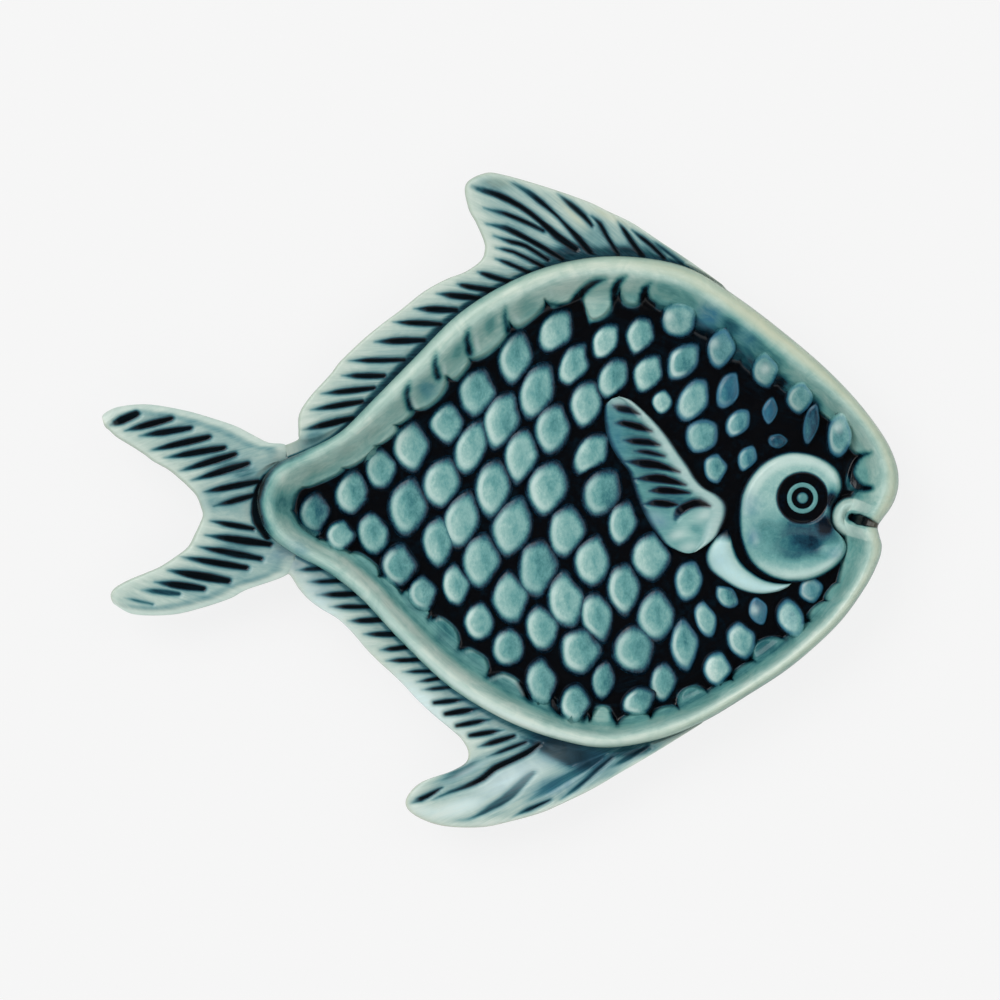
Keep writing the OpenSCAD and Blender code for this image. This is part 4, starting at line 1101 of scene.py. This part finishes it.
def tail_far_line(t):
    """The tail's far line: its leading edges above and below, and the rim's line between them. Also
    where it stands on the rim."""
    ends = [rim_at(np.array([row[2]]))[0] if len(row) == 3 else plan(row[2:]) for row in TAIL]
    on_root = [len(row) == 3 for row in TAIL]
    first, last = on_root.index(True), len(TAIL) - 1 - on_root[::-1].index(True)
    far = np.empty((len(t), 2))
    above, below = t < first, t > last
    far[above] = open_line(ends[:first + 1], t[above])
    far[below] = open_line(ends[last:], t[below] - last)
    rooted = ~above & ~below
    along = np.interp(t[rooted], np.arange(first, last + 1), [row[2] for row in TAIL[first:last + 1]])
    far[rooted] = mix(rim_at(along), floor_at(along), TAIL_SEAT_SHARE)
    return far, np.interp(t, np.arange(len(TAIL)), np.array(on_root, float))


def tail_shade(rooted):
    free = 1 - rooted

    def shade(place, grooves, banks, root):
        pool, from_edge, from_root = fin_tone(place, root, 0.4 * rooted)
        pool = pool - free * 0.15 * soft((24 - from_root) / 16)
        pool = patched(place, np.maximum(pool, 0.05), TAIL_PATCHES)
        pool = pool + free * 0.2 * hump((from_root - 15) / 9) * soft((from_edge - 10) / 20)
        pale = 0.3 * hump((from_edge - 5) / 7) + 0.3 * free * hump((from_root - 4) / 7)
        return fin_masks(place, pool, pale, from_edge, grooves, banks, TAIL_BLUES)
    return shade


def tail_fin():
    t = stations(TAIL, FIN_STEPS)
    edge = plan(open_line([row[:2] for row in TAIL], t))
    far, rooted = tail_far_line(t)
    edge, far = drawn_together(edge, far, np.minimum(t, len(TAIL) - 1 - t) / TAIL_TIP)
    root_z = (mix(FIN_EDGE_LOW, BAND_LOW, rooted), mix(FIN_EDGE_HIGH, BAND_TOP, rooted))
    fin_sheet("tail_glazed", edge, far, root_z, TAIL_STROKES, tail_shade(rooted[:, None]), "tail_fin")


# Relief on the floor

def relief_lines(lines_px):
    """Two lines through pairs of pixels, and places along them in points of the lines."""
    lines = np.array(lines_px, float)
    t = stations(lines, RELIEF_STEPS)
    return photo(open_line(lines[:, :2], t)), photo(open_line(lines[:, 2:], t)), t


def relief_rings(place, z, every):
    """Stations of a strip's surface and of a flat base under every so many of its points."""
    base = with_height(place[:, ::-1][:, ::every], FLOOR_TOP - BURIED)
    return np.concatenate([with_height(place, z), base], axis=1), base.shape[1]


def side_fin():
    near, far, t = relief_lines(SIDE_FIN_PX)
    near, far = drawn_together(near, far, (len(SIDE_FIN_PX) - 1 - t) / SIDE_TIP)
    q = np.linspace(0, 1, SIDE_COLUMNS)
    place = between(near, far, q)
    grooves = stroke_mask(place, SIDE_STROKES)
    banks = stroke_mask(place, SIDE_STROKES, 1.5, 5)
    rise = SIDE_RISE * rounded(q / 0.14) * rounded((1 - q) / 0.1)
    ridge = hump((q - 0.86) / 0.2)
    groove = SIDE_GROOVE * banks * np.clip(rise / (2 * SIDE_GROOVE), 0, 1)
    z = np.maximum(FLOOR_TOP + rise * (0.78 + 0.28 * ridge) - groove, FLOOR_TOP)
    rings, hidden = relief_rings(place, z, 12)
    shown = soft(np.minimum(q / 0.12, (1 - q) / 0.09))
    pool = mix(0.95, patched(place, 0.39 + 0 * q, SIDE_PATCHES), shown)
    pool = grooved(pool, 0.9 * banks, 0.64, grooves)
    pale = lifted(place, 0.5 * ridge, SIDE_PALE) * shown
    blue = sum(strength * blob(place, *patch) for *patch, strength in SIDE_BLUES)
    masks = masks_of(pool, pale * (1 - grooves), blue=blue * (1 - grooves))
    flow = rings.copy()
    flow[:, :SIDE_COLUMNS, 0] *= 0.2
    obj = barred("side_fin_glazed", rings, with_hidden(masks, 0, hidden), flow)
    dress(obj, glaze("relief_glaze", SCALE_RAMP, 0.08, 0.12, 0.05), "side_fin")


def gill_cover():
    near, far, t = relief_lines(GILL_PX)
    q = np.linspace(0, 1, GILL_COLUMNS)
    place = between(near, far, q)
    end = np.clip(np.minimum(t, len(GILL_PX) - 1 - t) / GILL_TIP, 0, 1)[:, None]
    t = t[:, None]
    arch = np.sqrt(np.clip(1 - (2 * q - 1) ** 2, 0, 1))
    z = FLOOR_TOP + GILL_RISE * arch * (0.25 + 0.75 * np.sqrt(end))
    rings, hidden = relief_rings(place, z, 6)
    shown = soft(np.minimum(q, 1 - q) / 0.2)
    pool = mix(0.95, 0.14, shown) + 0.15 * soft((q - 0.6) / 0.3) * soft((t - 3) / 2)
    pool = np.clip(np.maximum(pool, 0.9 * soft(1.3 - 0.9 * t)), 0, 1)
    # A pale band along the cover's arched middle: partly thin glaze on its crest and partly a painted
    # highlight
    pale = 0.6 * shown * hump((q - 0.45) / 0.5) * soft(t - 0.3)
    masks = masks_of(pool, pale, blue=0.14 * blob(place, *GILL_BLUE) * shown)
    obj = barred("gill_glazed", rings, with_hidden(masks, 0, hidden), rings)
    dress(obj, glaze("gill_glaze", SCALE_RAMP, 0.06, 0.1, 0.04, PALE_BLUE), "gill_cover")


def cheek_masks(place, out_px, in_socket):
    # Painted highlights: they lighten the glaze's tone and add the pale tint
    light = stroke_mask(place, CHEEK_HIGHLIGHTS, 0, 8)
    pool = mix(patched(place, 0.22 + 0 * out_px, CHEEK_PATCHES), 0.1, light)
    edge = soft(out_px / 5)
    pool = np.maximum(mix(SKIRT_DARK, pool, edge), in_socket)
    shown = edge * (1 - soft((pool - 0.45) / 0.25))
    blue = patched(place, 0 * pool, CHEEK_BLUES)
    return masks_of(pool, 0.5 * light * shown, blue=blue * shown)


def cheek():
    """A cushion between the cheek's outline and the round socket of the eye."""
    t = np.arange(len(CHEEK_LINE_PX) * CHEEK_STEPS) / CHEEK_STEPS
    outer = photo(closed_line(CHEEK_LINE_PX, t))
    middle, eye_at = photo([CHEEK_PX, EYE_PX])
    way = (outer - eye_at) / np.linalg.norm(outer - eye_at, axis=1)[:, None]
    inner = eye_at + way * SOCKET_PX * PIXEL
    place = between(outer, inner, CHEEK_SHARES)
    out_px = pixels_between(place, outer[:, None])
    in_socket = soft((SOCKET_PX + SOCKET_EDGE_PX - pixels_between(place, eye_at)) / SOCKET_EDGE_PX)
    hollow = patched(place, 0 * out_px, CHEEK_HOLLOWS) * soft((out_px - 8) / 8)
    socket_z = FLOOR_TOP + CHEEK_HEIGHT - SOCKET_DEPTH
    z = FLOOR_TOP + CHEEK_HEIGHT * rounded(out_px / CHEEK_ROUND_PX) - HOLLOW_DEPTH * hollow
    z = z - SOCKET_DEPTH * in_socket
    z = np.maximum(z, mix(FLOOR_TOP, socket_z - HOLLOW_LEAST, soft(out_px / 3)))
    base = between(outer, middle, CHEEK_BASE_SHARES)
    bowl = between(inner, eye_at, CHEEK_BOWL_SHARES)
    rings = np.concatenate([
        with_height(base, FLOOR_TOP - BURIED), with_height(place, z), with_height(bowl, socket_z)], axis=1)
    masks = with_hidden(cheek_masks(place, out_px, in_socket), base.shape[1], bowl.shape[1])
    obj = domed("cheek_glazed", rings, masks, rings, (*middle, FLOOR_TOP - BURIED), (*eye_at, socket_z))
    dress(obj, glaze("head_glaze", SCALE_RAMP, 0.12, 0.1, 0.05), "cheek")


def turned(name, middle, profile, pools, node_name):
    """A round piece of the eye, turned from a closed profile of radius and height."""
    turn = np.arange(EYE_SIDES) * 2 * math.pi / EYE_SIDES
    way = np.stack([np.cos(turn), np.sin(turn)], -1)
    radius, height = np.array(profile).T
    place = middle[:2] + way[:, None] * radius[:, None]
    rings = with_height(place, middle[2] + height)
    masks = masks_of(np.broadcast_to(pools, place.shape[:2]))
    faces = flipped(grid_faces(EYE_SIDES, len(profile), True, True))
    obj = new_mesh(name, rings.reshape(-1, 3), faces, masks, rings)
    dress(obj, glaze(name, SCALE_RAMP, 0.05, 0.05, 0.03), node_name)


def eye():
    middle = np.array([*photo([EYE_PX])[0], FLOOR_TOP + CHEEK_HEIGHT - SOCKET_DEPTH])
    wire = EYE_WIRE_PX * PIXEL
    radius = EYE_RING_PX * PIXEL
    arch = np.linspace(-0.12, 1.12, 24) * math.pi
    profile = [(radius + wire * math.cos(a), wire * 0.8 * math.sin(a)) for a in arch]
    pools = mix(0.95, 0.42, soft(np.sin(arch) / 0.75))
    turned("eye_ring_glazed", middle, profile, pools, "eye_ring")
    size = PUPIL_PX * PIXEL
    arch = np.linspace(-0.1, 0.495, 16) * math.pi
    profile = [(0.02 * size, -PUPIL_FOOT)]
    profile += [(size * math.cos(a), PUPIL_HEIGHT * math.sin(a)) for a in arch]
    pools = [1.0, *mix(0.95, 0.46, soft(np.sin(arch) / 0.9))]
    turned("eye_pupil_glazed", middle, profile, pools, "eye_pupil")


# Scales

class Ground:
    """What lies under a scale: the dish's height and how deep its glaze is there."""

    def __init__(self, obj):
        mesh = obj.data
        self.pool = np.empty(len(mesh.vertices))
        mesh.attributes["pool"].data.foreach_get("value", self.pool)
        self.faces = [tuple(p.vertices) for p in mesh.polygons]
        self.tree = BVHTree.FromPolygons([v.co for v in mesh.vertices], self.faces)

    def at(self, x, y):
        hit, _, face, _ = self.tree.ray_cast(Vector((x, y, 2 * RIM_TOP)), Vector((0, 0, -1)))
        if hit is None:
            return FLOOR_TOP, 1.0
        return hit.z, self.pool[list(self.faces[face])].mean()


def scale_outline(x, width, length, lean, rng):
    """A scale's line round its middle, a little different for each one."""
    turn = np.arange(SCALE_SIDES) * len(SCALE_OUTLINE) / SCALE_SIDES
    jitter = rng.uniform(-0.06, 0.06, (len(SCALE_OUTLINE), 2))
    outline = closed_line(np.array(SCALE_OUTLINE) + jitter, turn)
    grow = SCALE_GROW_PX + step_right(x, *GROW_LEFT) - step_right(x, *SHRINK_RIGHT)
    outline = outline * (np.array([width, length]) / 2 + grow) * PIXEL
    a = math.radians(-lean)
    return outline @ np.array([[math.cos(a), math.sin(a)], [-math.sin(a), math.cos(a)]])


def step_right(x, amount, start_px, length_px):
    """An amount that comes in to the right of a pixel column, or to its left for a negative length."""
    return amount * soft((x - start_px) / length_px)


def scale_height(place, middle, ground_z, width, r):
    """A dome that leans with the ground under it, and whose skirt runs into it."""
    off = (place - middle).reshape(-1, 2)
    slope = np.linalg.lstsq(np.column_stack([off, np.ones(len(off))]), ground_z.ravel(), rcond=None)[0]
    dome = np.clip(1 - np.clip(r / 1.1, 0, 1) ** 3.4, 0, 1) ** 0.7
    rise = SCALE_RISE * (0.5 + 0.5 * min(1.0, width / 30)) * dome
    z = (place - middle) @ slope[:2] + slope[2] + rise
    z = z + max(0, (ground_z + SCALE_CLEAR - z)[:, r < 0.99].max())
    return mix(z, ground_z - SCALE_SINK, soft((r - 0.96) / 0.14))


def scale_masks(row, middle, place, outline, under_pool, r, rng):
    """Glaze that is deeper in the scale's middle and at its foot, with painted light on the left: a pale
    highlight crescent, a lighter tone there and a darker one on the right.
    """
    x, y, width, length, _, depth = row
    unit = outline / np.linalg.norm(outline, axis=1)[:, None]
    # Painted light from the left: a highlight crescent and a lighter tone on the scale's left side, a darker
    # tone on its right, and the dark foot starting further out on the left
    lit_side = soft((unit @ np.array([-0.98, -0.2]) + 0.3) / 1.1)[:, None]
    crescent = hump((r - 0.67) / 0.18) * lit_side
    off = (place - middle - rng.uniform(-2, 4, 2) * PIXEL) / (np.array([width, length]) * 0.34 * PIXEL)
    core = np.exp(-(off ** 2).sum(-1))
    pool = 0.22 + depth + rng.uniform(-0.05, 0.06) + rng.uniform(0.08, 0.26) * core
    pool = np.minimum(pool, 0.74) - 0.07 * lit_side + 0.05 * (1 - lit_side) * soft(r)
    fade = mix(0.54, 0.66, lit_side)
    pool = mix(pool, np.minimum(under_pool, SKIRT_DARK), soft((r - fade) / (1.02 - fade)))
    pale = 0.62 * crescent * np.clip(1 - 2 * depth, 0, 1) * rng.uniform(0.2, 1.2)
    # Painted highlights: bright spots on the scales against the wall
    from_glint = pixels_between(photo(WALL_GLINTS)[:, None, None], place) / GLINT_PX
    pale = np.maximum(pale, 0.75 * np.exp(-from_glint ** 2).max(axis=0) * (r < 0.9))
    blue = step_right(x, *BLUE_RIGHT) * (1 - abs(y - BLUE_ROW_PX) / BLUE_REACH_PX)
    blue = (blue + patched(middle, 0, BLUE_SCALES)) * (1 - soft((r - 0.8) / 0.2))
    blue = blue + step_right(x, *BLUE_HALO) * hump((r - 0.84) / 0.16)
    return masks_of(pool, pale, blue=blue)


def one_scale(row, ground, rng):
    """Points and masks of one scale, as stations round its middle, and its top."""
    x, y, width, length, lean, _ = row
    middle = photo([(x + SCALE_SHIFT_PX[0], y + SCALE_SHIFT_PX[1])])[0]
    outline = scale_outline(x, width, length, lean, rng)
    r = np.array(SCALE_RING_SHARES)
    place = middle + outline[:, None] * r[:, None]
    below = np.array([[ground.at(*spot) for spot in station] for station in place])
    z = scale_height(place, middle, below[..., 0], width, r)
    masks = scale_masks(row, middle, place, outline, below[..., 1], r, rng)
    return with_height(place, z), masks, (*middle, z[:, 0].mean())


def scales(dish_obj):
    ground = Ground(dish_obj)
    rng = np.random.default_rng(SEED)
    verts, faces, masks = [], [], {}
    n, m = SCALE_SIDES, len(SCALE_RING_SHARES)
    for row in SCALES_PX:
        start = len(verts)
        rings, own, top = one_scale(row, ground, rng)
        verts += [*rings.reshape(-1, 3), top]
        faces += [[start + k for k in face] for face in flipped(grid_faces(n, m, True, False))]
        faces += [[start + i * m, start + (i + 1) % n * m, start + n * m] for i in range(n)]
        faces.append([start + i * m + m - 1 for i in range(n - 1, -1, -1)])
        for key, values in own.items():
            masks.setdefault(key, []).extend([*values.ravel(), values[:, 0].mean()])
    verts = np.array(verts)
    obj = new_mesh("scales_glazed", verts, faces, masks, verts * np.array([1, 0.6, 1]))
    dress(obj, glaze("scale_glaze", SCALE_RAMP, 0.14, 0.14, 0.1), "scales")


# The studio

def seen_by_camera(tree, lit, plain, share=1):
    """Two shaders mixed so that the camera sees this share of the plain one, and light none of it."""
    seen = tree.nodes.new("ShaderNodeLightPath").outputs["Is Camera Ray"]
    if share < 1:
        seen = math_node(tree, "MULTIPLY", seen, share)
    choose = tree.nodes.new("ShaderNodeMixShader")
    for socket, value in zip(choose.inputs, (seen, lit.outputs[0], plain.outputs[0])):
        give(tree, socket, value)
    return choose.outputs[0]


def studio_floor():
    """A plain pale floor. The camera sees most of its colour as it is, and the rest keeps the shadow."""
    mesh = bpy.data.meshes.new("studio_floor")
    h = FLOOR_HALF
    corners = [(x, y, -FLOOR_DROP) for x, y in ((-h, -h), (h, -h), (h, h), (-h, h))]
    mesh.from_pydata(corners, [], [(0, 1, 2, 3)])
    floor = put("studio_floor", mesh)
    material, tree, shader = new_material("studio_floor")
    fill(shader, Base_Color=FLOOR_COLOUR, Roughness=1, Specular_IOR_Level=0)
    plain = node(tree, "ShaderNodeEmission", Color=BACKGROUND)
    mixed = seen_by_camera(tree, shader, plain, 1 - SHADOW_SHARE)
    give(tree, tree.nodes["Material Output"].inputs["Surface"], mixed)
    mesh.materials.append(material)


def studio_world():
    """Even light from all round, with less from straight above, so that flat dark glaze stays deep."""
    world = bpy.data.worlds.new("studio")
    bpy.context.scene.world = world
    world.use_nodes = True
    tree = world.node_tree
    tree.nodes.clear()
    split = tree.nodes.new("ShaderNodeSeparateXYZ")
    give(tree, split.inputs[0], tree.nodes.new("ShaderNodeTexCoord").outputs["Generated"])
    ramp = tree.nodes.new("ShaderNodeValToRGB")
    for element, (position, level) in zip(ramp.color_ramp.elements, SKY):
        element.position = position
        element.color = (level, level, level, 1)
    give(tree, ramp.inputs["Fac"], split.outputs["Z"])
    light = tree.nodes.new("ShaderNodeBackground")
    give(tree, light.inputs["Color"], ramp.outputs["Color"])
    seen = node(tree, "ShaderNodeBackground", Color=BACKGROUND)
    out = tree.nodes.new("ShaderNodeOutputWorld")
    give(tree, out.inputs["Surface"], seen_by_camera(tree, light, seen))


def sun(name, strength, spread, tilt, around):
    """Soft light from far away: tilt from straight above, around from +X."""
    data = bpy.data.lights.new(name, "SUN")
    data.energy = strength
    data.angle = math.radians(spread)
    a, b = math.radians(tilt), math.radians(around)
    way = Vector((math.sin(a) * math.cos(b), math.sin(a) * math.sin(b), math.cos(a)))
    put(name, data).rotation_euler = way.to_track_quat("Z", "Y").to_euler()


def camera():
    data = bpy.data.cameras.new("camera")
    data.sensor_width = CAMERA_FILM
    data.lens = CAMERA_FILM * (CAMERA_HEIGHT - OUTLINE_HEIGHT) / FRAME_WIDTH
    data.clip_end = CAMERA_REACH
    cam = put("camera", data)
    cam.location = (0, 0, CAMERA_HEIGHT)
    bpy.context.scene.camera = cam


def studio():
    camera()
    studio_floor()
    studio_world()
    for lamp in LAMPS:
        sun(*lamp)
    bpy.context.scene.view_settings.view_transform = "Standard"


def build():
    dish_obj = dish()
    shade = rim_fin_shade(DORSAL_PATCHES, creams=DORSAL_CREAMS)
    rim_fin("dorsal_glazed", DORSAL, DORSAL_STROKES, shade, "dorsal_fin")
    shade = rim_fin_shade(ANAL_PATCHES, ANAL_PALE, ANAL_BLUES, rooted=0.72, edge_tone=0.1)
    rim_fin("anal_glazed", ANAL, ANAL_GROOVES + ANAL_STROKES, shade, "anal_fin", PALE_ANAL)
    tail_fin()
    side_fin()
    gill_cover()
    cheek()
    eye()
    scales(dish_obj)
    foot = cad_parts["foot_ring"]
    foot.data.materials.clear()
    foot.data.materials.append(clay())


build()
studio()
